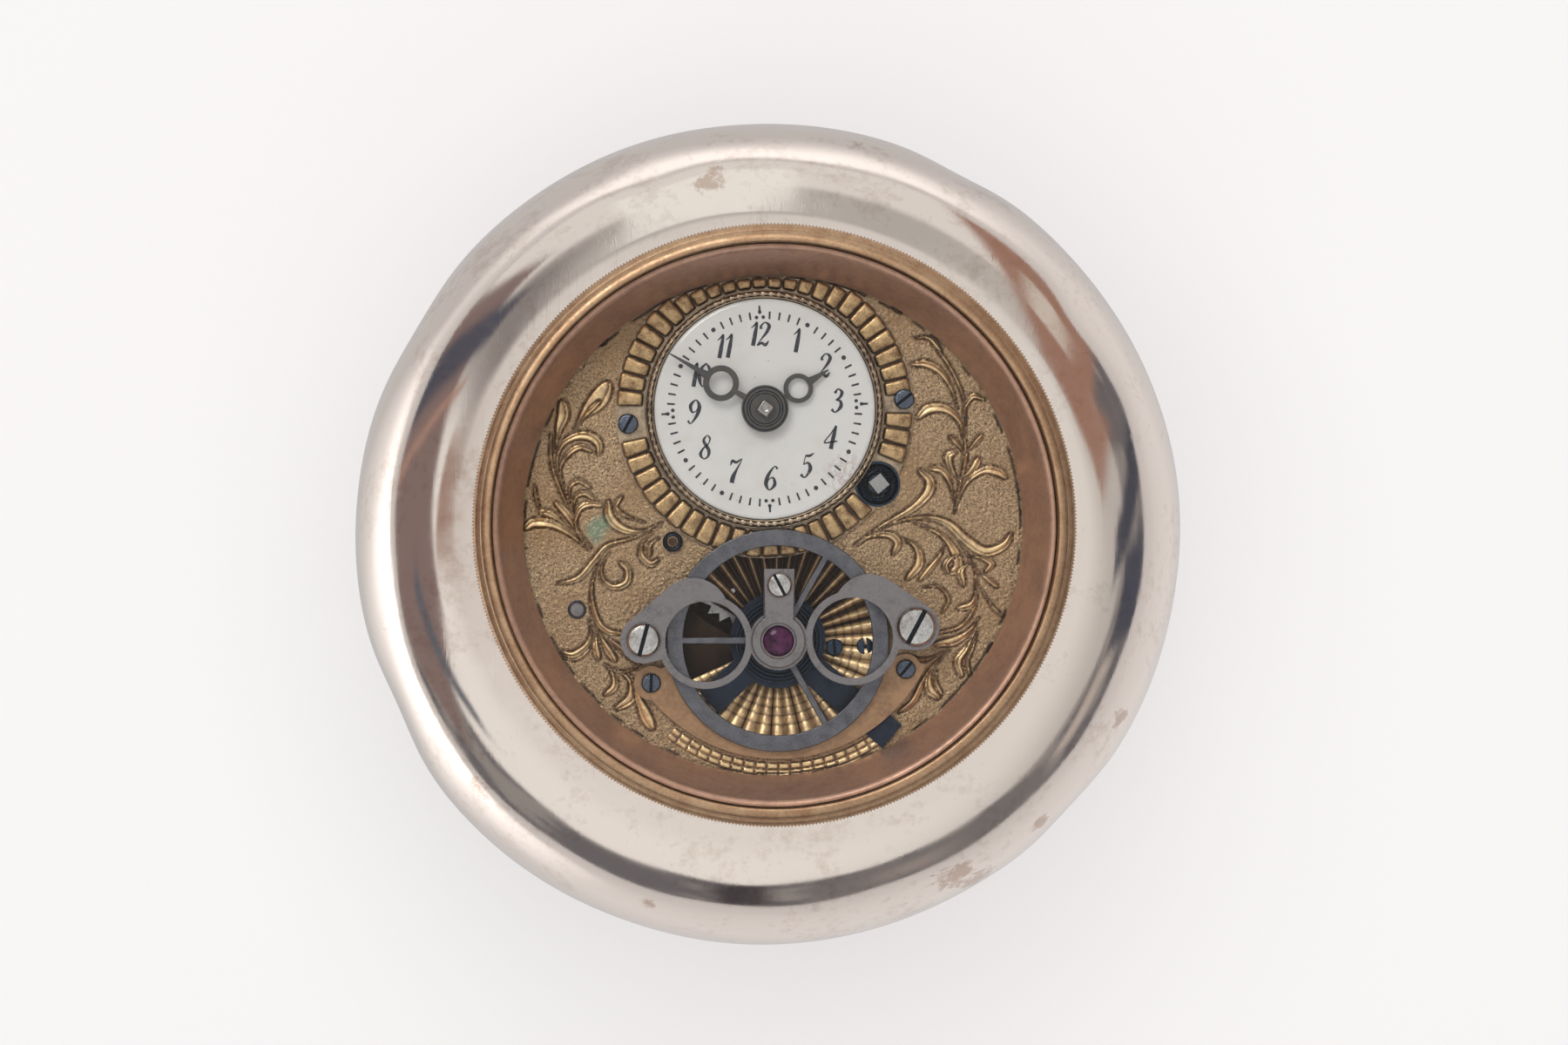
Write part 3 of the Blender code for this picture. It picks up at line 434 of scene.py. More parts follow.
def worn_metal(name, slot, colour, patina, rough, blotch, grain, depth=0.3, cavity=0.0, scratches=0.0,
               patina_from=(0.42, 0.68), metallic=1.0):
    """Metal with blotches of patina, fine grain, scratches, and painted shade where the surface is closed in.

    rough and patina_from hold the lowest and highest roughness, and the noise at which the patina starts and
    is full; blotch, grain and the reach of the painted hollow shade are sizes.
    """
    s = Shader(name, slot)
    mask = s.mix(0.45, s.noise(blotch, 5.0, 0.6), s.noise(blotch / 7, 4.0, 0.65))
    tint = s.mix(s.ramp(mask, (patina_from[0], 0.0), (patina_from[1], 1.0)), colour, patina)
    # painted shade: ambient occlusion over the given reach darkens the colour towards 0.22 of the patina in
    # hollows and closed spaces
    if cavity:
        painted_shade_mask = s.ramp(s.cavity(cavity), (0.25, 1.0), (0.85, 0.0))
        tint = s.mix(painted_shade_mask, tint, tuple(0.22 * c for c in patina))
    # painted shadow: near black where the cuts layer is set, as on a screw's slot floor
    tint = s.mix(s.attribute("cuts"), tint, (0.012, 0.014, 0.02))
    normal = s.bump(s.noise(grain, 3.0, 0.6), depth, 0.02)
    if scratches:
        for turn in (0.5, 2.1):
            lines = s.noise(0.25, 2.0, 0.5, 0.3, s.mapped((1.0, 0.02, 1.0), turn))
            normal = s.bump(s.ramp(lines, (0.62, 0.0), (0.7, 1.0)), scratches, 0.01, normal)
    roughness = s.ramp(s.noise(blotch / 3, 6.0, 0.7), (0.3, rough[0]), (0.72, rough[1]))
    s.surface({"Base Color": tint, "Metallic": metallic, "Roughness": roughness, "Normal": normal})
    return s


TARNISH = [
    # azimuth, distance out, height, size
    (298, 25.3, 29.6, 1.6), (300, 26.3, 27.6, 1.5), (252, 25.2, 29.8, 1.0), (312, 25.8, 29.0, 0.8),
    (331, 25.6, 29.2, 1.1), (101, 22.6, 32.6, 1.2), (222, 25.0, 30.4, 1.0), (78, 25.8, 29.0, 0.8),
]


def tarnish_spots(s):
    """Brown tarnish with ragged edges, where it stands on the silver."""
    socket = s.bsdf.inputs["Base Color"]
    tint = socket.links[0].from_socket
    ragged = s.math("MULTIPLY", s.math("SUBTRACT", s.noise(1.2, 5.0, 0.7), 0.5), 4.0)
    for azimuth, distance, height, size in TARNISH:
        gap = s.distance_to(*polar(distance, azimuth), height)
        reach = s.math("ADD", s.math("DIVIDE", gap, size), ragged)
        tint = s.mix(s.ramp(reach, (0.45, 0.6), (0.95, 0.0)), tint, (0.42, 0.27, 0.19))
    s.put(tint, socket)


def make_metals():
    tarnish_spots(worn_metal("silver", "worn_silver", (0.87, 0.785, 0.715), (0.62, 0.51, 0.43), (0.07, 0.16),
                             5.0, 0.6, 0.05, scratches=0.08, patina_from=(0.52, 0.76)))
    gilt, steel, blued = "gilt_brass", "polished_steel", "blued_steel"
    worn_metal("gilt", gilt, (0.56, 0.38, 0.235), (0.36, 0.205, 0.12), (0.32, 0.50), 1.6, 0.15, 0.25,
               cavity=0.35, scratches=0.08)
    worn_metal("bush_gilt", gilt, (0.85, 0.66, 0.42), (0.60, 0.42, 0.25), (0.25, 0.4), 0.5, 0.05, 0.2)
    worn_metal("rehaut", gilt, (0.62, 0.37, 0.26), (0.42, 0.24, 0.18), (0.32, 0.50), 2.5, 0.10, 0.25,
               scratches=0.05, metallic=0.6)
    worn_metal("tile_gilt", gilt, (0.62, 0.43, 0.23), (0.24, 0.14, 0.075), (0.28, 0.45), 0.6, 0.12, 0.6,
               cavity=0.5, patina_from=(0.44, 0.60))
    worn_metal("rope_gilt", gilt, (0.54, 0.42, 0.30), (0.14, 0.10, 0.075), (0.25, 0.45), 0.8, 0.10,
               cavity=0.2)
    # painted shade: the brass inside the movement is given near-black colours and painted hollow shade over 4
    # mm, as it lies in shade
    worn_metal("inner_brass_painted_shade", "frosted_gilt", (0.12, 0.07, 0.04), (0.02, 0.015, 0.018), (0.3, 0.5), 0.8, 0.1,
               0.2, cavity=4.0)
    worn_metal("copper", "copper_gilt", (0.46, 0.28, 0.165), (0.27, 0.16, 0.10), (0.32, 0.48), 1.8, 0.08,
               cavity=0.3)
    worn_metal("polished_steel", steel, (0.42, 0.41, 0.41), (0.22, 0.21, 0.21), (0.18, 0.34), 1.4, 0.10, 0.12,
               cavity=0.2, patina_from=(0.52, 0.8))
    worn_metal("bright_steel", steel, (0.72, 0.71, 0.70), (0.30, 0.28, 0.28), (0.12, 0.3), 0.5, 0.08, 0.25,
               cavity=0.5)
    worn_metal("bridge_steel", steel, (0.27, 0.25, 0.26), (0.14, 0.125, 0.13), (0.22, 0.40), 1.3, 0.10, 0.25,
               cavity=0.3, patina_from=(0.50, 0.75))
    worn_metal("grey_steel", "grey_steel", (0.185, 0.185, 0.21), (0.08, 0.08, 0.095), (0.25, 0.42), 0.9, 0.08,
               cavity=0.2)
    worn_metal("blued_steel", blued, (0.03, 0.055, 0.10), (0.06, 0.07, 0.09), (0.2, 0.4), 0.6, 0.08, 0.1)
    worn_metal("blued_screw", blued, (0.13, 0.16, 0.22), (0.07, 0.07, 0.08), (0.2, 0.38), 0.4, 0.06,
               cavity=0.4)
    worn_metal("hand_steel", blued, (0.085, 0.09, 0.10), (0.13, 0.11, 0.09), (0.3, 0.5), 0.5, 0.06, 0.6)
    worn_metal("index_steel", blued, (0.045, 0.058, 0.09), (0.025, 0.03, 0.045), (0.25, 0.45), 0.8, 0.08,
               cavity=3.5)


def make_plate_material():
    """Matted gilt ground with brighter, smoother engraved leaves, darker in the cuts; on the balance recess
    the ribs carry painted light and shade.
    """
    s = Shader("plate_gilt", "frosted_gilt")
    relief = s.attribute("relief")
    ground = s.mix(s.ramp(s.noise(0.11, 3.0, 0.7), (0.36, 0.0), (0.58, 1.0)), (0.15, 0.095, 0.058),
                   (0.55, 0.39, 0.24))
    ground = s.mix(s.ramp(s.noise(0.20, 2.0, 0.5), (0.65, 0.0), (0.70, 0.8)), ground, (0.06, 0.035, 0.02))
    ground = s.mix(s.ramp(s.noise(3.5, 4.0, 0.6), (0.45, 0.0), (0.7, 0.7)), ground, (0.34, 0.215, 0.115))
    leaves = s.mix(s.ramp(s.noise(0.6, 4.0, 0.6), (0.42, 0.0), (0.62, 1.0)), (0.95, 0.69, 0.38),
                   (0.58, 0.40, 0.24))
    # darker where the cuts layer is set: the engraved lines and scale, with painted shade in the gap round
    # the plate's edge and between the recess's ribs; the relief layer lightens the leaves and paints light on
    # the recess's rib ridges
    tint = s.mix(s.attribute("cuts"), s.mix(relief, ground, leaves), (0.085, 0.045, 0.03))
    verdigris = s.math("ADD", s.distance_to(-11.3, -0.2, PLATE_TOP), s.math("MULTIPLY", s.noise(0.8), 1.6))
    verdigris = s.ramp(s.math("DIVIDE", verdigris, 3.0), (0.38, 0.55), (0.62, 0.0))
    matt = s.ramp(s.noise(0.5, 3.0), (0.3, 0.42), (0.7, 0.58))
    s.surface({"Base Color": s.mix(verdigris, tint, (0.16, 0.34, 0.27)), "Metallic": 0.85,
               "Roughness": s.mix(relief, matt, (0.30, 0.30, 0.30)),
               "Normal": s.bump(s.noise(0.09, 2.0, 0.6), 0.45, 0.03)})


def make_dial_materials():
    """White enamel, stained, specked and worn near the winding square, and the worn ink on it."""
    s = Shader("enamel", "white_enamel")
    stain = s.ramp(s.noise(2.6, 5.0, 0.65), (0.50, 0.0), (0.78, 0.55))
    tint = s.mix(stain, (0.63, 0.62, 0.62), (0.54, 0.50, 0.46))
    tint = s.mix(s.ramp(s.noise(0.22, 2.0, 0.5), (0.735, 0.0), (0.77, 0.8)), tint, (0.36, 0.27, 0.19))
    worn = s.distance_to(DIAL[0] + 5.3, DIAL[1] - 4.3, high("dial").z)
    chips = s.math("MULTIPLY", s.ramp(s.math("DIVIDE", worn, 2.0), (0.35, 1.0), (0.95, 0.0)),
                   s.ramp(s.noise(0.35, 4.0, 0.7), (0.46, 0.0), (0.56, 0.75)))
    s.surface({"Base Color": s.mix(chips, tint, (0.45, 0.36, 0.33)), "Roughness": 0.16, "Coat Weight": 0.4,
               "Normal": s.bump(s.noise(1.2, 3.0), 0.06, 0.05)})
    s = Shader("ink", "white_enamel")
    faded = s.ramp(s.noise(0.18, 4.0, 0.65), (0.60, 0.0), (0.72, 0.7))
    s.surface({"Base Color": s.mix(faded, (0.022, 0.024, 0.035), (0.35, 0.33, 0.30)), "Roughness": 0.3})


def make_ruby():
    s = Shader("ruby", "ruby")
    cloud = s.ramp(s.noise(0.6, 3.0, 0.6), (0.35, 0.0), (0.7, 1.0))
    s.surface({"Base Color": s.mix(cloud, (0.022, 0.003, 0.020), (0.11, 0.02, 0.08)), "Roughness": 0.12,
               "Specular IOR Level": 0.2, "Subsurface Weight": 0.15,
               "Subsurface Radius": (0.0004, 0.0001, 0.0003)})


def make_glass():
    """Thin clear glass: what is under it shows through, and only its outside mirrors, by Fresnel.

    The rays aren't bent, so a mirroring inside would send all of them back at grazing angles.
    """
    s = Shader("glass", "clear_glass")
    output = s.bsdf.outputs[0].links[0].to_socket
    s.tree.nodes.remove(s.bsdf)
    clear = s.node("ShaderNodeBsdfTransparent")
    s.put((0.975, 0.98, 0.975), clear.inputs["Color"])
    gloss = s.node("ShaderNodeBsdfGlossy")
    s.put(s.ramp(s.noise(3.0, 5.0, 0.7), (0.45, 0.02), (0.8, 0.10)), gloss.inputs["Roughness"])
    fresnel = s.node("ShaderNodeFresnel")
    s.put(1.35, fresnel.inputs["IOR"])
    outside = s.math("SUBTRACT", 1.0, s.node("ShaderNodeNewGeometry").outputs["Backfacing"])
    mixed = s.node("ShaderNodeMixShader")
    s.put(s.math("MULTIPLY", fresnel.outputs[0], outside), mixed.inputs[0])
    s.put(clear.outputs[0], mixed.inputs[1])
    s.put(gloss.outputs[0], mixed.inputs[2])
    s.put(mixed.outputs[0], output)


def make_wood():
    s = Shader("wood", "stick_wood")
    rings = s.noise(1.2, 5.0, 0.6, 0.6, s.mapped((1.0, 1.0, 0.08)))
    pores = s.noise(0.25, 4.0, 0.6, 0.0, s.mapped((1.0, 1.0, 0.05)))
    s.surface({"Base Color": s.ramp(rings, (0.3, (0.10, 0.05, 0.022)), (0.55, (0.23, 0.12, 0.055)),
                                    (0.8, (0.34, 0.19, 0.09))),
               "Roughness": s.ramp(rings, (0.3, 0.45), (0.8, 0.7)), "Normal": s.bump(pores, 0.4, 0.05)})


# ---------------------------------------------------------------- studio

class Sky(Nodes):
    """The room that the metal reflects, in degrees of azimuth and elevation."""

    def __init__(self, tree):
        super().__init__(tree, "Generated", 1.0)
        split = self.node("ShaderNodeSeparateXYZ")
        self.put(self.place, split.inputs[0])
        self.x, self.y, z = split.outputs
        wobble = self.math("SUBTRACT", self.noise(0.25, 3.0, 0.5), 0.5)
        wobble = self.math("MULTIPLY", wobble, math.radians(10.0))
        self.elevation = self.math("ADD", self.math("ARCSINE", z), wobble)

    def turned_by(self, first, second, degrees):
        """Two coordinates turned by an angle."""
        c, n = math.cos(math.radians(degrees)), math.sin(math.radians(degrees))
        return (self.math("ADD", self.math("MULTIPLY", first, c), self.math("MULTIPLY", second, n)),
                self.math("SUBTRACT", self.math("MULTIPLY", second, c), self.math("MULTIPLY", first, n)))

    def panel(self, azimuth, elevation, half_width, half_height, lean, soft):
        """A patch round a direction, all in degrees; lean moves its top to smaller azimuths."""
        along, across = self.turned_by(self.x, self.y, azimuth)
        sideways = self.math("ARCTAN2", across, along)
        upward = self.math("SUBTRACT", self.elevation, math.radians(elevation))
        u, v = self.turned_by(sideways, upward, lean)
        inside = [self.step(self.math("ABSOLUTE", gap), math.radians(half + soft), math.radians(half - soft))
                  for gap, half in ((u, half_width), (v, half_height))]
        return self.math("MULTIPLY", *inside)


PANELS = [
    # azimuth, elevation, half width, half height, lean, softness, colour
    (105, 58, 50, 24, 0, 9, (0.48, 0.47, 0.46)),
    (90, 0, 48, 36, 0, 4, (0.78, 0.77, 0.76)),
    (99, 42, 15, 31, 0, 2, (0.90, 0.91, 0.90)),
    (138, 60, 12, 24, -20, 10, (0.26, 0.24, 0.24)),
    (172, 20, 37, 27, 28, 3, (0.235, 0.175, 0.17)),
    (149, 20, 6, 30, 20, 3, (0.085, 0.09, 0.12)),
    (163, 22, 1.5, 30, 20, 1.5, (0.42, 0.27, 0.22)),
    (185, -8, 26, 4, 14, 3, (0.10, 0.09, 0.11)),
    (200, 36, 18, 4, 34, 3, (0.13, 0.14, 0.17)),
    (173, 75, 11, 15, 0, 3, (0.36, 0.25, 0.21)),
    (34, 30, 14, 38, 22, 3, (0.34, 0.20, 0.155)),
    (9, 12, 5, 33, 25, 2, (0.07, 0.075, 0.10)),
    (38, 26, 5, 13, 10, 2, (0.62, 0.57, 0.52)),
    (247, 12, 12, 16, 0, 4, (0.15, 0.145, 0.16)),
    (268, 10, 5, 20, 0, 2, (0.06, 0.055, 0.065)),
    (300, 9, 21, 17, 0, 3, (0.19, 0.18, 0.185)),
    (294, 12, 6, 7, 0, 5, (0.30, 0.27, 0.26)),
    (333, 16, 10, 5, 10, 3, (0.50, 0.45, 0.42)),
    (350, 10, 9, 15, 8, 3, (0.075, 0.08, 0.11)),
]


def make_world():
    """A pale tent overhead, dark room walls low down, a window above and warm dark shapes at the sides."""
    world = bpy.data.worlds.new("studio")
    world.use_nodes = True
    sky = Sky(world.node_tree)
    tent = sky.node("ShaderNodeVectorMath", operation="DOT_PRODUCT")
    sky.put(sky.place, tent.inputs[0])
    tent.inputs[1].default_value = (-0.45, -0.52, 0.73)
    colour = sky.mix(sky.step(tent.outputs["Value"], 0.2, 0.95), (0.53, 0.515, 0.50), (0.88, 0.87, 0.86))
    walls = sky.mix(sky.step(sky.noise(0.2, 2.0, 0.5), 0.44, 0.56), (0.15, 0.145, 0.16), (0.30, 0.285, 0.28))
    above = sky.step(sky.elevation, math.radians(28.0), math.radians(34.0))
    colour = sky.mix(above, walls, colour)
    for *panel, tint in PANELS:
        colour = sky.mix(sky.panel(*panel), colour, tint)
    seen = sky.node("ShaderNodeLightPath").outputs["Is Camera Ray"]
    background = sky.tree.nodes["Background"]
    sky.put(sky.mix(seen, colour, (0.80, 0.795, 0.80)), background.inputs["Color"])
    sky.put(1.0, background.inputs["Strength"])
    bpy.context.scene.world = world


def make_floor():
    """A pale table, plain to the camera; to the metal it shines with painted light: painted shadow near the
    knob, falling off to grey, and painted pools of light to the left and behind.
    """
    mesh = bmesh.new()
    bmesh.ops.create_grid(mesh, x_segments=2, y_segments=2, size=2.0)
    floor = plain_object("floor", mesh)
    floor.location.z = -0.0002
    s = Shader("floor_paper", "floor_paper", unit=1.0)

    def grey(value):
        return (value, value * 0.99, value)

    def falloff(x, y, *stops):
        return s.ramp(s.distance_to(x, y, 0.0), *((position, grey(value)) for position, value in stops))

    seen = s.node("ShaderNodeLightPath").outputs["Is Camera Ray"]
    # painted light and shadow, seen only by rays off the metal: the floor's own light is darkest near the
    # knob as painted shadow, with painted pools of light to the left and behind
    room = falloff(-0.025, 0.030, (0.05, 0.30), (0.085, 0.42), (0.20, 0.36))
    painted_left_pool = falloff(-0.150, -0.045, (0.03, 1.5), (0.07, 0.8), (0.12, 0.0))
    window = falloff(0.0, 0.220, (0.04, 0.55), (0.10, 0.40), (0.16, 0.0))
    lit = s.mix(1.0, s.mix(1.0, room, painted_left_pool, "ADD"), window, "ADD")
    s.surface({"Base Color": s.mix(seen, room, grey(0.60)), "Roughness": 0.9,
               "Emission Color": s.mix(seen, lit, grey(0.42)), "Emission Strength": 1.0})
    floor.data.materials.append(MATERIAL["floor_paper"])


def area_light(name, position, size, energy, colour, mirrored):
    data = bpy.data.lights.new(name, "AREA")
    data.energy, data.size, data.color = energy, size, colour
    light = bpy.data.objects.new(name, data)
    light.location = position
    light.visible_glossy = mirrored
    light.rotation_euler = Vector(position).to_track_quat("Z", "Y").to_euler()
    bpy.context.scene.collection.objects.link(light)
    return light


def make_camera():
    """A long lens almost straight above the glass, a little to the left, with +Y up in the picture."""
    data = bpy.data.cameras.new("camera")
    data.lens, data.sensor_width, data.clip_start = 166.9, 36.0, 0.01
    camera = bpy.data.objects.new("camera", data)
    target = Vector((0.71, 0.20, 29.5)) * MM
    position = target + Vector((-9.5, -2.9, 471.0)) * MM
    back = (position - target).normalized()
    right = Vector((0.0, 1.0, 0.0)).cross(back).normalized()
    turn = Matrix((right, back.cross(right), back)).transposed()
    camera.matrix_world = Matrix.LocRotScale(position, turn, None)
    bpy.context.scene.collection.objects.link(camera)
    bpy.context.scene.camera = camera


make_metals()
make_plate_material()
make_dial_materials()
make_ruby()
make_glass()
make_wood()
make_world()
make_floor()
area_light("tent", (-0.05, 0.10, 0.60), 0.60, 1.6, (1.0, 0.99, 0.98), mirrored=False)
key = area_light("key", (-0.14, 0.24, 0.52), 0.16, 0.80, (1.0, 0.97, 0.92), mirrored=True)
make_camera()
bpy.context.scene.view_settings.view_transform = "Standard"


# ---------------------------------------------------------------- knob and case

DENTS = [
    # (azimuth, distance out, height), width, depth
    ((62, 26.2, 25.0), 4.2, 0.30), ((150, 26.0, 24.0), 5.5, 0.28), ((205, 26.0, 24.5), 5.0, 0.42),
    ((318, 25.8, 24.0), 4.5, 0.30), ((35, 24.0, 30.0), 3.0, 0.22), ((20, 22.5, 31.6), 2.4, 0.16),
    ((285, 25.3, 27.5), 2.6, 0.14), ((108, 23.6, 30.6), 3.2, 0.14),
]


def make_knob():
    """The bun, a little out of round and dented between its ledge and its neck, with collar and core."""
    edge, ledge, ledge_bore = radius("knob_shell"), high("knob_shell").z, 18.45
    widest, shoulder, belly, neck, wall = 24.0, 20.3, 13.0, 11.0, 0.8
    outer = (ellipse_arc((shoulder, widest), (edge - shoulder, ledge - widest), 90, 0, 48)
             + ellipse_arc((belly, widest), (edge - belly, 12.5), 0, -90, 48)[1:]
             + ellipse_arc((belly, 9.5), (2.0, 2.0), 90, 180, 10)[1:] + [(neck, h) for h in (7.0, 4.5, 2.2)])
    inner_radii = (edge - shoulder - wall, ledge - widest - wall)
    inner = (ellipse_arc((belly, widest), (edge - belly - wall, 11.7), -90, 0, 16)
             + ellipse_arc((shoulder, widest), inner_radii, 0, 90, 12)[1:])
    foot = [(neck, 0.25), (neck - 0.25, 0.0), (neck - wall, 0.0), (neck - wall, 9.5)]
    rim = [(ledge_bore, ledge), (19.6, ledge)]
    mesh = lathe_mesh([*rim, *outer, *foot, *inner, (ledge_bore, ledge - wall)], 288)
    true_radius, true_height = 19.0, 12.0
    for vert in mesh.verts:
        x, y, z = vert.co
        distance = math.hypot(x, y)
        if distance < true_radius or z < true_height:
            continue
        angle = math.atan2(y, x)
        keep = min(1.0, (distance - true_radius) / 2.0) * min(1.0, (z - true_height) / 4.0)
        push = (0.10 * math.sin(2 * angle + 0.6) + 0.06 * math.sin(3 * angle + 2.0)
                + 0.035 * math.sin(7 * angle + z / 4)
                + 0.02 * math.sin(11 * angle + 0.9 * z) * math.sin(0.7 * z + 3 * angle))
        for (degrees, out, height), width, depth in DENTS:
            gap = (vert.co - Vector((*polar(out, degrees), height))).length_squared
            push -= depth * math.exp(-gap / (0.5 * width * width))
        scale = 1.0 + keep * (push - 0.05) / distance
        vert.co.x, vert.co.y = x * scale - 0.28 * keep, y * scale - 0.52 * keep
    add_object("silver_shell", mesh, "silver", "root", ["knob_shell"], sharp=50.0)

    top, collar_edge = high("neck_collar").z, radius("neck_collar")
    bead = ellipse_arc((collar_edge - 0.8, top / 2), (0.8, top / 2 - 0.1), 90, -90, 16)
    collar = [(neck + 0.05, top), (neck + 0.4, top), *bead, (neck + 0.4, 0.0), (neck + 0.05, 0.0)]
    turned("silver_collar", collar, "silver", stands_for=["neck_collar"])
    outside = [(0.0, 20.0), (20.0, 20.0), (15.0, 14.0), (10.0, 12.0), (10.0, 0.3), (9.7, 0.02)]
    socket = [(6.8, 0.02), (6.5, 0.3), (6.5, 13.8), (6.2, 14.0), (0.0, 14.0)]
    turned("turned_core", outside + socket, "wood", stands_for=["wood_core"])


def make_case():
    floor, bottom, edge, bore = 21.3, 20.8, 18.35, 17.95
    flange = [(18.85, 33.6), (18.9, 33.5), (18.9, 33.3)]
    turned("gilt_cup", [(bore, floor), (bore, 33.6), *flange, (edge, 33.25), (edge, bottom), (1.0, bottom),
                        (1.0, floor)], "gilt", stands_for=["case_cup"])
    cone = [(PLATE_EDGE + 1.42 * t, 29.42 + 4.2 * t) for t in np.linspace(0, 1, 8)]
    rolled = [(17.70, 33.66), (17.74, 33.80), (17.80, 33.88), (17.9, 33.9)]
    foot = [(17.9, 29.1), (17.4, 29.1), (17.4, 29.4), (PLATE_EDGE + 0.05, 29.40)]
    turned("inner_ring", [*foot, *cone, *rolled], "rehaut", stands_for=["rehaut_ring"], sides=256)
    seat = [(17.62, 34.05), (17.60, 34.2), (17.66, 34.36), (17.80, 34.48), (17.95, 34.5), (18.05, 34.5),
            (18.05, 34.05)]
    turned("glass_seat", seat, "rehaut", "bezel", ["crystal_seat_ring"], sides=256)
    face = [(17.8 * t, 35.85) for t in (0.0, 0.33, 0.66, 1.0)]
    rim = [(17.87, 35.83), (17.92, 35.78), (17.94, 35.70), (17.94, 34.58), (17.90, 34.56), (0.0, 34.56)]
    turned("flat_glass", face + rim, "glass", "bezel", ["crystal"], sides=256)


def make_bezel():
    """Gilt bezel with two turned steps and a coin edge of small notches."""
    notches, steps = 540, 4
    # distance out, height, depth of the notches there
    profile = [(18.13, 34.0, 0), (18.13, 35.80, 0), (18.17, 35.90, 0), (18.28, 35.94, 0), (18.55, 35.90, 0),
               (18.78, 35.80, 0), (18.86, 35.68, 0), (18.88, 35.60, 0), (18.98, 35.56, 0), (19.14, 35.48, 0),
               (19.26, 35.34, 0), (19.33, 35.12, 0.06), (19.36, 34.95, 0.12), (19.40, 34.85, 0.17),
               (19.40, 34.2, 0.17), (19.40, 33.62, 0.17), (19.30, 33.48, 0), (19.05, 33.4, 0),
               (19.0, 33.75, 0)]
    mesh = bmesh.new()
    rings = []
    for i in range(notches * steps):
        angle = math.tau * i / (notches * steps)
        notch = 0.5 - 0.5 * math.cos(math.tau * (i % steps) / steps)
        ring = []
        for distance, height, depth in profile:
            cut = distance - depth * notch
            ring.append(mesh.verts.new((cut * math.cos(angle), cut * math.sin(angle), height)))
        rings.append(ring)
    skin(mesh, rings, around=True)
    add_object("milled_bezel", mesh, "gilt", "bezel", ["bezel_ring"], sharp=50.0)


make_knob()
make_case()
make_bezel()


# ---------------------------------------------------------------- engraved plate

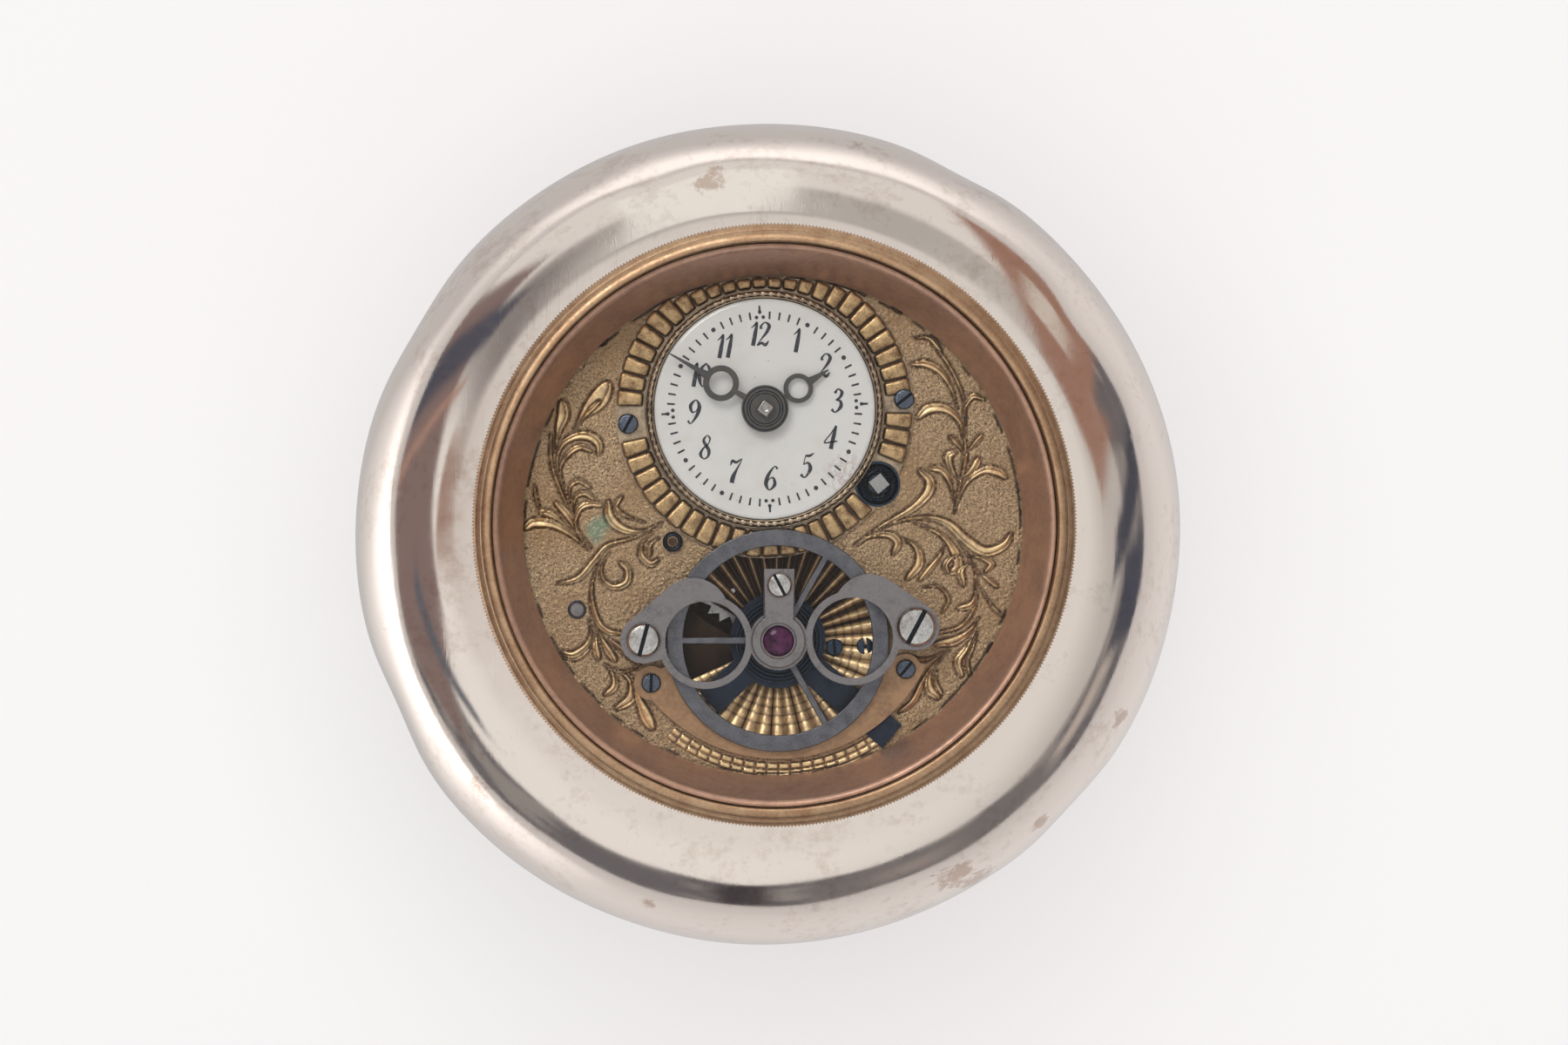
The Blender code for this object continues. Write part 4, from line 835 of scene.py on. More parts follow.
ENGRAVING = [
    # each leaf: half its width, then its middle line from the stem out to the tip
    # upper left: two buds and a scroll on a long stem
    (0.10, (-11.8, -1.4), (-12.7, -0.2), (-13.4, 1.4), (-14.1, 3.1), (-14.4, 4.4), (-14.4, 6.0)),
    (0.40, (-14.1, 4.9), (-13.9, 6.2), (-13.6, 7.2), (-13.7, 8.1)),
    (0.66, (-12.9, 6.3), (-12.1, 7.4), (-11.3, 8.2), (-10.7, 9.2)),
    (0.15, (-12.6, 6.6), (-11.9, 7.4), (-11.2, 8.1)),
    (0.18, (-13.4, 1.8), (-13.8, 3.6), (-13.3, 4.6), (-12.5, 5.1), (-11.7, 4.8)),
    (0.30, (-13.6, 2.4), (-14.0, 4.0), (-13.7, 5.2), (-12.8, 5.8), (-11.9, 5.8), (-11.3, 5.3), (-11.3, 4.6)),
    # left: a fan of leaves and the sprigs above the long stem
    (0.26, (-12.2, -1.3), (-12.9, 0.0), (-13.4, 0.8), (-14.1, 1.5)),
    (0.24, (-12.1, -1.4), (-13.3, -0.3), (-14.4, 0.7), (-15.2, 0.9)),
    (0.34, (-11.9, -1.6), (-13.1, -0.6), (-14.3, 0.1), (-15.5, 0.2), (-16.1, -0.2)),
    (0.10, (-15.0, 0.8), (-15.3, 1.5), (-15.5, 2.6)),
    (0.14, (-13.1, 1.4), (-13.2, 2.4), (-12.6, 2.9), (-11.8, 2.4)),
    (0.18, (-12.9, 0.9), (-12.8, 1.8), (-12.2, 2.1), (-11.6, 1.7)),
    (0.22, (-12.2, -1.2), (-12.8, 0.1), (-12.5, 1.1), (-11.8, 1.4), (-11.1, 1.3)),
    (0.15, (-8.3, 0.2), (-9.5, 0.6), (-10.2, 1.2), (-9.8, 1.9)),
    (0.32, (-7.2, 0.2), (-8.5, -0.4), (-9.8, -0.2), (-10.6, 0.6), (-10.7, 1.6)),
    (0.22, (-7.3, -0.1), (-9.0, -0.8), (-10.7, -1.3), (-11.6, -2.3), (-12.6, -3.4), (-13.9, -3.8)),
    (0.16, (-7.4, -0.8), (-8.0, -1.3), (-8.0, -2.0)),
    (0.22, (-7.8, -0.5), (-8.5, -1.2), (-8.5, -2.0), (-7.9, -2.5), (-7.4, -2.2)),
    (0.24, (-10.6, -1.8), (-11.1, -2.6), (-11.0, -3.5), (-10.3, -4.0), (-9.5, -3.7), (-9.4, -2.9),
     (-9.9, -2.4)),
    (0.20, (-11.2, -2.0), (-11.7, -3.7), (-11.7, -5.0), (-11.3, -6.3), (-10.6, -6.9), (-9.8, -7.0)),
    # lower left
    (0.09, (-11.6, -6.6), (-10.5, -7.6), (-9.5, -8.4), (-8.6, -9.0)),
    (0.12, (-11.8, -6.9), (-11.9, -7.9), (-12.6, -8.6), (-13.6, -8.6)),
    (0.24, (-11.9, -6.1), (-11.8, -7.1), (-12.2, -7.9), (-13.0, -8.4), (-13.7, -8.2)),
    (0.24, (-11.4, -6.9), (-11.5, -7.8), (-11.3, -8.7)),
    (0.26, (-11.3, -6.9), (-10.8, -7.9), (-10.2, -8.8)),
    (0.16, (-10.9, -7.1), (-10.2, -7.7), (-9.7, -8.1)),
    (0.09, (-8.6, -8.9), (-9.0, -9.3), (-9.7, -9.5), (-10.4, -9.4), (-10.9, -9.0)),
    (0.24, (-10.8, -9.1), (-10.3, -9.8), (-10.3, -10.5), (-10.9, -11.0)),
    (0.34, (-10.2, -9.3), (-9.2, -10.1), (-9.2, -11.2), (-10.2, -11.9)),
    (0.40, (-9.2, -9.6), (-8.7, -11.2), (-8.2, -12.4), (-7.8, -13.2)),
    # upper right
    (0.10, (12.5, 5.7), (12.5, 7.6), (12.2, 8.9), (11.4, 10.5), (10.6, 11.6)),
    (0.26, (12.0, 7.6), (11.6, 8.9), (10.9, 10.0), (10.0, 10.5), (9.0, 10.5)),
    (0.20, (9.2, 12.2), (10.2, 12.2), (10.9, 11.4)),
    (0.18, (12.4, 6.9), (12.5, 7.7), (13.0, 8.4), (13.8, 8.2)),
    (0.34, (12.4, 5.5), (12.1, 6.8), (11.2, 7.6), (10.1, 7.6), (9.4, 7.0)),
    (0.12, (11.8, 0.8), (12.1, 2.4), (12.5, 4.1), (12.5, 5.7)),
    (0.18, (12.5, 4.7), (13.1, 5.3), (13.6, 5.9)),
    (0.16, (12.5, 4.6), (12.0, 5.3), (11.5, 5.8)),
    (0.26, (12.2, 3.0), (13.0, 3.7), (13.4, 4.4)),
    (0.26, (12.1, 2.9), (11.6, 3.7), (11.4, 4.5), (11.9, 4.8)),
    (0.24, (11.8, 1.5), (11.5, 2.8), (11.0, 3.6), (10.2, 3.7)),
    (0.30, (11.9, 1.3), (12.6, 2.8), (13.7, 3.6), (14.6, 3.5), (15.2, 3.1)),
    # right: the stem from under the well, its long leaves and hooks
    (0.34, (5.3, -1.3), (7.1, 0.0), (8.9, 1.0), (10.0, 2.0), (10.2, 2.9), (9.5, 3.6)),
    (0.34, (5.5, -1.1), (8.0, 0.2), (10.0, 0.5), (11.4, 0.1), (12.5, -0.9), (13.8, -1.7), (15.0, -1.3),
     (15.5, -0.5)),
    (0.34, (9.2, 0.2), (10.9, -0.6), (11.8, -1.7), (12.0, -2.7), (11.4, -3.1)),
    (0.26, (5.5, -1.3), (6.3, -0.7), (7.5, -0.6), (8.1, -1.1), (7.8, -1.9)),
    (0.30, (8.3, -0.8), (9.3, -1.4), (9.5, -2.5), (8.7, -3.5)),
    (0.20, (11.2, -1.2), (10.8, -2.0), (10.2, -2.8), (9.5, -3.6)),
    (0.18, (12.3, -1.9), (11.6, -2.1), (11.2, -2.6), (11.4, -3.1)),
    (0.12, (12.1, -1.0), (13.1, -2.7), (13.2, -4.3), (12.9, -5.7), (12.1, -6.6), (10.6, -7.0)),
    (0.24, (12.8, -2.4), (12.2, -3.0), (12.4, -3.9)),
    (0.20, (12.7, -2.0), (13.5, -2.1), (14.2, -2.5), (13.8, -3.0)),
    (0.16, (13.3, -3.0), (14.0, -3.5), (14.6, -4.0)),
    (0.07, (13.5, -4.1), (14.3, -5.3), (15.0, -5.9)),
    # lower right
    (0.08, (9.8, -4.0), (10.8, -4.0), (11.4, -4.8), (11.0, -5.7)),
    (0.22, (13.2, -4.1), (12.9, -5.1), (12.0, -5.4)),
    (0.30, (13.4, -6.0), (12.7, -6.9), (11.8, -7.5), (10.5, -7.7)),
    (0.14, (13.3, -6.8), (13.0, -7.9), (12.6, -8.8), (12.8, -9.7)),
    (0.26, (13.2, -6.7), (12.6, -7.9), (12.0, -8.8), (12.3, -9.8)),
    (0.09, (11.4, -8.0), (9.9, -8.7), (8.6, -8.5)),
    (0.20, (11.4, -8.1), (10.4, -9.1), (9.7, -10.2), (9.1, -11.4), (8.2, -12.1)),
    (0.32, (10.5, -9.0), (10.1, -10.0), (10.2, -10.7), (10.8, -11.2)),
    (0.14, (10.6, -9.4), (10.6, -10.3), (11.0, -11.0)),
]
PLATE_SPACING = 0.07
PLATE_REACH = 17.36


def engrave(raised, cut, axis, half_width, spine_points):
    """Draw one leaf on the height grids: a flat body with a cut outline and, if it is wide, a vein."""
    spine = spline(spine_points, 24)
    t = np.linspace(0, 1, len(spine))
    width = 0.035 + half_width * smooth(t, -0.05, 0.75) * (1.03 - t ** 5) ** 0.5
    span = []
    for k in (0, 1):
        first = max(int((spine[:, k].min() + PLATE_REACH - 1.0) / PLATE_SPACING), 0)
        last = min(int((spine[:, k].max() + PLATE_REACH + 1.0) / PLATE_SPACING), len(axis))
        span.append(slice(first, last))
    window = (span[1], span[0])
    dx = axis[span[0]][None, :, None] - spine[:, 0]
    dy = axis[span[1]][:, None, None] - spine[:, 1]
    gap = np.hypot(dx, dy) / width
    closest = gap.argmin(2)
    local = np.take_along_axis(gap, closest[:, :, None], 2)[:, :, 0]
    tangent = tangents(spine)
    across = (tangent[:, 0] * dy - tangent[:, 1] * dx) / width
    side = np.take_along_axis(across, closest[:, :, None], 2)[:, :, 0]
    turn = tangent[:-1, 0] * tangent[1:, 1] - tangent[:-1, 1] * tangent[1:, 0]
    side *= 1.0 if turn.sum() > 0 else -1.0
    inside = local < 1.0
    width_here = width[closest]
    # rounded towards its hollow side, as the graver leaves it
    body = 0.55 + 0.45 * np.clip(side, -1, 1) * np.sqrt(np.clip(1 - local ** 2, 0, 1))
    raised[window] = np.where(inside, body, raised[window] * smooth(local, 1.0, 1.3))
    edge = line_at((local - 1.0) * width_here, 0.075)
    vein = 0.8 * line_at((side + 0.35) * width_here, 0.05) * inside * (width_here > 0.14)
    cut[window] = np.where(inside, np.maximum(edge, vein), np.maximum(cut[window], edge))


def regulator_scale(x, y):
    """Where the scale lies between the crescent and the rim, and its cuts: three rails and cross lines."""
    dx, dy = x - SCALE_CENTRE[0], y - SCALE_CENTRE[1]
    out, bearing = np.hypot(dx, dy), np.degrees(np.arctan2(dy, dx))
    on_it = (bearing > -128) & (bearing < -50) & (out > 10.72) & (out < 11.72)
    rails = np.min([np.abs(out - rail) for rail in (10.78, 11.24, 11.68)], axis=0)
    pitch = 3.9
    step = pitch * math.radians(1) * out
    cross = np.abs(np.abs(((bearing + 90.0) / pitch) % 1.0 - 0.5) * step - 0.5 * step)
    return on_it, np.where(on_it, line_at(np.minimum(rails, cross), 0.06), 0.0)


def make_plate():
    """Engraved leaves and the regulator's scale on a sandy ground, as a closed solid."""
    axis = -PLATE_REACH + np.arange(int(2 * PLATE_REACH / PLATE_SPACING) + 1) * PLATE_SPACING
    x, y = np.meshgrid(axis, axis)
    raised, outline_cut = np.zeros(x.shape), np.zeros(x.shape)
    for half_width, *spine_points in ENGRAVING:
        engrave(raised, outline_cut, axis, half_width, spine_points)
    in_scale, line_cut = regulator_scale(x, y)
    relief = np.clip(np.where(in_scale, 0.35, raised), 0, 1)
    from_centre = np.hypot(x, y)
    # the worn gap round the plate's edge, open in some places and closed in others; where open it is cut into
    # the plate and painted darker as shade
    angle = np.arctan2(y, x)
    open_gap_with_painted_shade = smooth(np.sin(31 * angle) + np.sin(47 * angle + 1) + np.sin(7 * angle), -0.6, 0.4)
    line_cut = np.maximum(line_cut, open_gap_with_painted_shade * line_at(from_centre - PLATE_EDGE + 0.08, 0.07))

    grains = np.random.default_rng(11).normal(0.0, 1.0, x.shape)
    matting = sum(np.roll(grains, shift, (0, 1)) for shift in ((0, 0), (1, 0), (0, 1), (1, 1))) / 4
    leaf_mask = smooth(relief, 0.0, 0.2)
    height = (PLATE_TOP - 0.09 + 0.14 * relief + 0.024 * matting * (1.0 - leaf_mask) - 0.12 * outline_cut
              - 0.08 * line_cut)
    height = np.where(in_scale, PLATE_TOP - 0.05 - 0.10 * line_cut, height)

    keep = from_centre < 17.3
    snapped_x, snapped_y = x.copy(), y.copy()
    for about, hole, snapped in ((BALANCE, 6.86, 6.9), (WINDING, 1.36, 1.42)):
        dx, dy = x - about[0], y - about[1]
        gap = np.hypot(dx, dy)
        keep &= gap > hole
        near = np.abs(gap - snapped) < 0.6 * PLATE_SPACING
        snapped_x = np.where(near, about[0] + dx * snapped / gap, snapped_x)
        snapped_y = np.where(near, about[1] + dy * snapped / gap, snapped_y)
    index = np.full(x.shape, -1)
    index[keep] = np.arange(int(keep.sum()))
    verts = np.stack([snapped_x[keep], snapped_y[keep], height[keep]], 1)
    quads = np.stack([index[:-1, :-1], index[:-1, 1:], index[1:, 1:], index[1:, :-1]], -1).reshape(-1, 4)
    quads = quads[(quads >= 0).all(1)]
    data = bpy.data.meshes.new("plate_grid")
    data.from_pydata(verts.tolist(), [], quads.tolist())
    # the cuts layer darkens the engraved lines and scale, and paints shade into the open gap round the edge
    for name, values in (("relief", leaf_mask), ("cuts", np.maximum(outline_cut * 0.85, line_cut))):
        layer = data.attributes.new(name, "FLOAT", "POINT")
        layer.data.foreach_set("value", values[keep].astype(np.float32))
    mesh = bmesh.new()
    mesh.from_mesh(data)
    bpy.data.meshes.remove(data)
    close_below(mesh, PLATE_TOP - 1.0)
    add_object("engraved_plate", mesh, "plate_gilt", "root", ["front_plate"], sharp=60.0, weld=False)
    turned("plate_rim", [(17.2, PLATE_TOP - 0.2), (17.8, PLATE_TOP - 0.2), (17.8, PLATE_TOP - 1.1),
                         (7.6, PLATE_TOP - 1.1), (7.6, PLATE_TOP - 1.0), (17.2, PLATE_TOP - 1.0)],
           "inner_brass_painted_shade", sides=128)
    turned("well_wall", [(1.34, PLATE_TOP + 0.05), (1.46, PLATE_TOP + 0.05), (1.46, PLATE_TOP - 0.9),
                         (1.34, PLATE_TOP - 0.9)], "blued_steel", about=WINDING, sides=64)


def make_recess():
    """The shell-shaped hollow under the balance: a shallow cone of rounded ribs, open at the left, with
    painted light and shade on its ribs.
    """
    columns, rows = 900, 64
    inner, outer = 1.35, 6.94
    ring_lines = (3.8, 4.35, 4.9, 5.5)
    mesh = bmesh.new()
    levels = mesh.verts.layers.float.new("relief")
    shade = mesh.verts.layers.float.new("cuts")
    grid = []
    for i in range(columns):
        degrees = -180.0 + 360.0 * i / columns
        upper = max(0.0, math.sin(math.radians(degrees)))
        rib = abs(math.sin(math.radians(degrees + 4.0) * 20.0)) ** (0.35 + 1.8 * upper)
        line = []
        for t in np.linspace(0.0, 1.0, rows):
            distance = inner + (outer - inner) * t
            ring = (1 - upper) * sum(line_at(distance - ring_line, 0.06) for ring_line in ring_lines)
            height = PLATE_TOP - 0.72 + 0.55 * t ** 1.3 - (1.0 - rib) * (0.35 + 0.25 * upper) - 0.04 * ring
            vert = mesh.verts.new((*polar(distance, degrees, BALANCE), height))
            # painted light: the rib ridges are lighter, fading towards the centre as painted shade
            vert[levels] = min(1.0, rib * 1.2) * (0.35 + 0.65 * t)
            # painted shade: full between the ribs, on the ridges of the upper side too, towards the centre,
            # and darker along the ring lines
            painted_shade_between_ribs = max(0.0, 1.15 - (1.6 - 1.0 * upper) * rib)
            vert[shade] = min(1.0, painted_shade_between_ribs + 0.7 * ring + max(0.0, 0.9 - 2.2 * t))
            line.append(vert)
        grid.append(line)
    for i, (line, after) in enumerate(zip(grid, grid[1:] + grid[:1])):
        degrees = -180.0 + 360.0 * (i + 0.5) / columns
        for j in range(rows - 1):
            distance = inner + (outer - inner) * (j + 0.5) / (rows - 1)
            in_window = (degrees > 150 or degrees < -155) and 2.7 < distance < 6.3
            if not in_window:
                mesh.faces.new((line[j], line[j + 1], after[j + 1], after[j]))
    bmesh.ops.delete(mesh, geom=[vert for vert in mesh.verts if not vert.link_faces], context="VERTS")
    close_below(mesh, PLATE_TOP - 1.4)
    add_object("shell_recess", mesh, "plate_gilt", sharp=60.0, weld=False)
    turned("recess_wall", [(6.9, PLATE_TOP - 0.02), (7.0, PLATE_TOP - 0.02), (7.0, PLATE_TOP - 0.8),
                           (6.9, PLATE_TOP - 0.8)], "tile_gilt", about=BALANCE, sides=160)


make_plate()
make_recess()


# ---------------------------------------------------------------- dial

def tile_outline(start, end, inset, tilt):
    """A tile from above, as (outwards, across) from its middle: wider outside, with rounded corners."""
    half_length = (end - start) / 2
    fillet = max(0.16 - inset * 0.4, 0.05)
    points = []
    for outwards, across, turn in ((-1, -1, 180), (1, -1, 270), (1, 1, 0), (-1, 1, 90)):
        distance = end - start if outwards > 0 else 0.0
        half_width = (0.44 + 0.055 * distance) * (1 + tilt)
        corner = (outwards * max(half_length - inset - fillet, 0.02),
                  across * max(half_width - inset - fillet, 0.02))
        points += arc(corner, fillet, turn, turn + 90, 3)
    return points


def plate_limit(degrees, clip=16.08):
    """How far a ray from the dial's centre runs before it leaves the visible plate."""
    dot = Vector(DIAL).dot(Vector(polar(1.0, degrees)))
    return -dot + math.sqrt(dot * dot - Vector(DIAL).length_squared + clip * clip)


def make_tiles():
    """A ring of raised rounded tiles round the dial, cut short where the plate ends."""
    count = 52
    base_top = PLATE_TOP + 0.22
    gaps = [(WINDING, 1.75)] + [(centre(f"dial_screw_{side}"), 0.62) for side in SIDES]
    mesh = bmesh.new()
    for number in range(count):
        degrees = 360.0 * (number + 0.35) / count
        along = Vector(polar(1.0, degrees))
        across = Vector((-along.y, along.x))
        start = 7.86 + random.uniform(-0.04, 0.04)
        end = min(9.62, plate_limit(degrees)) + random.uniform(-0.05, 0.0)
        middle = Vector(DIAL) + along * (start + end) / 2
        if any((middle - Vector(about)).length < clear for about, clear in gaps):
            continue
        rings = []
        tilt = random.uniform(-0.03, 0.03)
        for inset, height in ((0.0, 0.0), (0.0, 0.16), (0.05, 0.25), (0.13, 0.30), (0.22, 0.32)):
            ring = []
            for out, aside in tile_outline(start, end, inset, tilt):
                point = middle + along * out + across * aside
                ring.append(mesh.verts.new((point.x, point.y, base_top + height + tilt * out)))
            rings.append(ring)
        skin(mesh, rings)
    add_object("dial_tiles", mesh, "tile_gilt", weld=False, sharp=60.0)

    outline = [polar(min(9.66, plate_limit(degrees)), degrees, DIAL) for degrees in range(0, 360, 3)]
    well = (circle(1.5, 48, WINDING), (PLATE_TOP - 1, PLATE_TOP + 1))
    carved("tile_bed", outline, (PLATE_TOP - 0.1, base_top), "rope_gilt", stands_for=["tile_ring"],
           holes=[circle(5.7, 96, DIAL)], cuts=[well], bevel=0.0)


def make_rope():
    """A twisted rope border with a plain line inside and outside it."""
    around, section, strands, twists = 720, 10, 3, 90
    rope_radius, rope_height, thick = 7.46, 29.95, 0.155
    mesh = bmesh.new()
    rings = []
    for i in range(around):
        ring = []
        for j in range(section):
            turn = math.tau * j / section
            strand = thick * (1.0 + 0.22 * math.cos(strands * turn + twists * math.tau * i / around))
            place = polar(rope_radius + strand * math.cos(turn), 360.0 * i / around, DIAL)
            ring.append(mesh.verts.new((*place, rope_height + strand * math.sin(turn))))
        rings.append(ring)
    skin(mesh, rings, around=True)
    add_object("rope_border", mesh, "rope_gilt", stands_for=["dial_rope_ring"], weld=False, sharp=70.0)
    bottom = 29.45
    for name, distance, half, top in (("inner", 7.26, 0.05, 30.07), ("outer", 7.70, 0.06, 29.86)):
        line = [(distance - half, bottom), *ellipse_arc((distance, top - half), (half, half), 180, 0, 6),
                (distance + half, bottom)]
        turned(f"rope_line_{name}", line, "rope_gilt", about=DIAL)


DIGITS = {
    # strokes through (across, up, half width) in a box 0.6 wide and 1 high
    "0": [[(.32, .99, .03), (.10, .75, .075), (.06, .35, .085), (.25, .01, .03), (.48, .30, .08),
           (.53, .70, .08), (.32, .99, .03)]],
    "1": [[(.04, .78, .015), (.20, .90, .04), (.30, .99, .045), (.27, .55, .09), (.22, .02, .095)]],
    "2": [[(.12, .72, .075), (.10, .84, .05), (.28, .99, .03), (.50, .84, .08), (.42, .58, .07),
           (.18, .28, .03), (.02, .04, .03), (.22, .12, .06), (.42, .03, .07), (.56, .20, .02)]],
    "3": [[(.12, .82, .07), (.26, .99, .03), (.47, .84, .075), (.38, .62, .06), (.20, .53, .02)],
          [(.20, .53, .02), (.44, .46, .06), (.48, .22, .085), (.24, .01, .03), (.04, .14, .07)]],
    "4": [[(.50, .99, .02), (.28, .66, .028), (.00, .30, .03), (.34, .30, .035), (.64, .32, .03)],
          [(.50, .98, .05), (.44, .60, .09), (.38, .20, .09), (.36, .00, .10)]],
    "5": [[(.20, .93, .05), (.40, .92, .06), (.60, 1.02, .02)], [(.20, .94, .02), (.14, .56, .02)],
          [(.14, .56, .02), (.36, .62, .05), (.50, .36, .09), (.28, .01, .03), (.05, .14, .075)]],
    "6": [[(.56, .88, .06), (.40, .99, .025), (.14, .66, .075), (.06, .28, .09), (.26, .01, .03),
           (.50, .22, .08), (.40, .50, .05), (.22, .48, .02), (.10, .30, .02)]],
    "7": [[(.06, .76, .02), (.14, .95, .065), (.34, .88, .06), (.60, 1.0, .02), (.40, .58, .05),
           (.26, .28, .10), (.22, .02, .10)]],
    "8": [[(.46, .86, .05), (.30, .99, .025), (.14, .80, .06), (.28, .58, .08), (.46, .34, .08),
           (.44, .10, .05), (.24, .01, .025), (.06, .20, .07), (.16, .44, .04), (.40, .64, .025),
           (.46, .86, .04)]],
    "9": [[(.06, .13, .06), (.22, .01, .025), (.48, .34, .075), (.56, .72, .09), (.36, .99, .03),
           (.12, .78, .08), (.22, .50, .05), (.40, .52, .02), (.52, .70, .02)]],
}


def ribbon(mesh, samples, level, thick):
    """A flat stroke with its own half width at each point, as a closed thin solid."""
    spine = samples[:, :2]
    tangent = tangents(spine)
    side = np.stack([-tangent[:, 1], tangent[:, 0]], 1) * samples[:, 2:3]
    skin(mesh, [[mesh.verts.new((*point, height)) for point, height in
                 ((left, level), (right, level), (right, level - thick), (left, level - thick))]
                for left, right in zip(spine + side, spine - side)])


def make_numerals(top, twist):
    size, lean = 1.52, math.radians(twist)
    numerals_centre = (DIAL[0] + 0.05, DIAL[1] + 0.18)
    mesh = bmesh.new()
    for hour in range(1, 13):
        place = polar(4.68, 91.5 + twist - 30.0 * hour, numerals_centre)
        widths = [0.42 if digit == "1" else 0.58 for digit in str(hour)]
        pen = -sum(widths) / 2
        for digit, width in zip(str(hour), widths):
            for stroke in DIGITS[digit]:
                samples = spline(stroke, 9)
                py = (samples[:, 1] - 0.5) * size
                px = (pen + samples[:, 0]) * size * 0.86 + 0.16 * py
                turned_stroke = [place[0] + px * math.cos(lean) - py * math.sin(lean),
                                 place[1] + px * math.sin(lean) + py * math.cos(lean),
                                 np.maximum(samples[:, 2], 0.02) * size * 0.92]
                ribbon(mesh, np.stack(turned_stroke, 1), top + 0.012, 0.05)
            pen += width
    add_object("hour_numerals", mesh, "ink", weld=False, sharp=40.0)


def make_minute_marks(top, twist):
    """A stroke for each minute, a dot at each hour, three dots and a stroke at each quarter."""
    mesh = bmesh.new()
    level, thick = top - 0.018, 0.04

    def stroke(degrees, start, end, widths):
        ends = [(*polar(distance, degrees, DIAL), width) for distance, width in zip((start, end), widths)]
        ribbon(mesh, np.array(ends), level, thick)

    def dot(degrees, distance, size):
        outline = circle(size, 14, polar(distance, degrees, DIAL))
        skin(mesh, [ring_of(mesh, outline, level), ring_of(mesh, outline, level - thick)])

    for minute in range(60):
        degrees = 90.0 + twist - 6.0 * minute
        if minute % 5:
            stroke(degrees, 5.82, 6.32, (0.058, 0.066))
        elif minute % 15:
            dot(degrees, 6.1, 0.15)
        else:
            for offset, distance in ((-2.1, 5.95), (2.1, 5.95), (0.0, 6.28)):
                dot(degrees + offset, distance, 0.12)
            stroke(degrees, 6.35, 6.70, (0.075, 0.06))
    add_object("minute_marks", mesh, "ink", weld=False, sharp=40.0)


def make_dial():
    """The domed enamel disc; its printing is turned a few degrees, as on the real dial."""
    top, rim, twist = high("dial").z, radius("dial"), 3.0
    bore, underside, edge_width = 1.15, 29.66, 0.35
    crown = [(bore + (rim - edge_width - bore) * t, top - 0.05 * t * t) for t in np.linspace(0, 1, 14)]
    edge = ellipse_arc((rim - edge_width, top - 0.20), (0.33, 0.15), 90, 0, 8)
    turned("enamel_dial", [(bore, underside), *crown, *edge, (rim - 0.02, underside)], "enamel",
           stands_for=["dial"], about=DIAL, sides=256)
    make_numerals(top, twist)
    make_minute_marks(top, twist)


make_tiles()
make_rope()
make_dial()


# ---------------------------------------------------------------- hands and winding square

def make_hand(node, body, degrees, heights, hub, bore, moon, tip):
    """A moon hand: hub, neck, pierced moon of (distance, radius, hole), then a tapering point."""
    def at(size, sides, distance):
        return circle(size, sides, polar(distance, degrees, DIAL))

    distance, moon_radius, hole = moon
    outside = distance + moon_radius
    neck = hull(at(0.20, 12, hub) + at(0.16, 12, distance - moon_radius))
    point = hull(at(0.26, 12, outside - 0.05) + at(0.17, 12, outside + 0.5))
    needle = hull(at(0.17, 12, outside + 0.5) + at(0.05, 8, tip - 0.05))
    joins = [(shape, heights) for shape in (neck, at(moon_radius, 48, distance), point, needle)]
    cuts = [(at(hole, 48, distance), (heights[0] - 0.5, heights[1] + 0.5))]
    carved(f"{node}_fine", circle(hub, 64, DIAL), heights, "hand_steel", body, [node],
           holes=[circle(bore, 32, DIAL)] if bore else (), joins=joins, cuts=cuts, bevel=0.05)


def square_post(name, about, side, degrees, bottom, top, body, finish):
    """A square post with a chamfered head."""
    levels = ((side, bottom), (side, top - 0.12), (side * 0.78, top), (side * 0.5, top - 0.01))
    mesh = bmesh.new()
    skin(mesh, [ring_of(mesh, arc(about, size / math.sqrt(2), degrees + 45, degrees + 315, 3), height)
                for size, height in levels])
    made = add_object(name, mesh, finish, body, weld=False, sharp=20.0)
    edge = made.modifiers.new("edge", "BEVEL")
    edge.width, edge.segments = 0.03 * MM, 2


def make_hands():
    make_hand("hour_hand", "hour_works", 31.5, (30.4, 30.58), 1.3, 1.02, (2.54, 0.96, 0.66), 4.85)
    make_hand("minute_hand", "minute_works", 150.0, (30.95, 31.12), 1.52, 0.0, (3.28, 1.16, 0.77), 7.1)
    boss = [(0.0, 31.10), (1.42, 31.10), (1.42, 31.22), (1.34, 31.28), (1.18, 31.28), (1.12, 31.20),
            (1.02, 31.20), (0.94, 31.26), (0.0, 31.26)]
    turned("minute_hand_boss", boss, "hand_steel", "minute_works", about=DIAL, sides=64)
    square_post("setting_square", DIAL, 0.93, 53.0, 31.2, 31.95, "minute_works", "polished_steel")
    punch = [(0.0, 31.93), (0.14, 31.94), (0.2, 31.98), (0.25, 31.98), (0.28, 31.93), (0.28, 31.88),
             (0.0, 31.88)]
    turned("setting_square_centre", punch, "polished_steel", "minute_works", about=DIAL, sides=32)


def make_winding():
    floor = low("winding_well_ring").z
    ring = [(0.88, floor), (0.88, floor + 0.2), (1.05, floor + 0.26), (1.18, floor + 0.22),
            (1.30, floor + 0.05), (1.36, floor)]
    turned("well_ring_fine", ring, "blued_steel", stands_for=["winding_well_ring"], about=WINDING, sides=64)
    collar = [(0.0, 29.25), (0.62, 29.25), (0.74, 29.15), (0.78, 29.0), (0.78, 26.95), (0.0, 26.95)]
    turned("winding_collar", collar, "blued_steel", "winding", about=WINDING, sides=48)
    square_post("winding_square", WINDING, 0.95, 39.0, 29.2, 32.0, "winding", "bright_steel")


make_hands()
make_winding()


# ---------------------------------------------------------------- balance, bridge and regulator

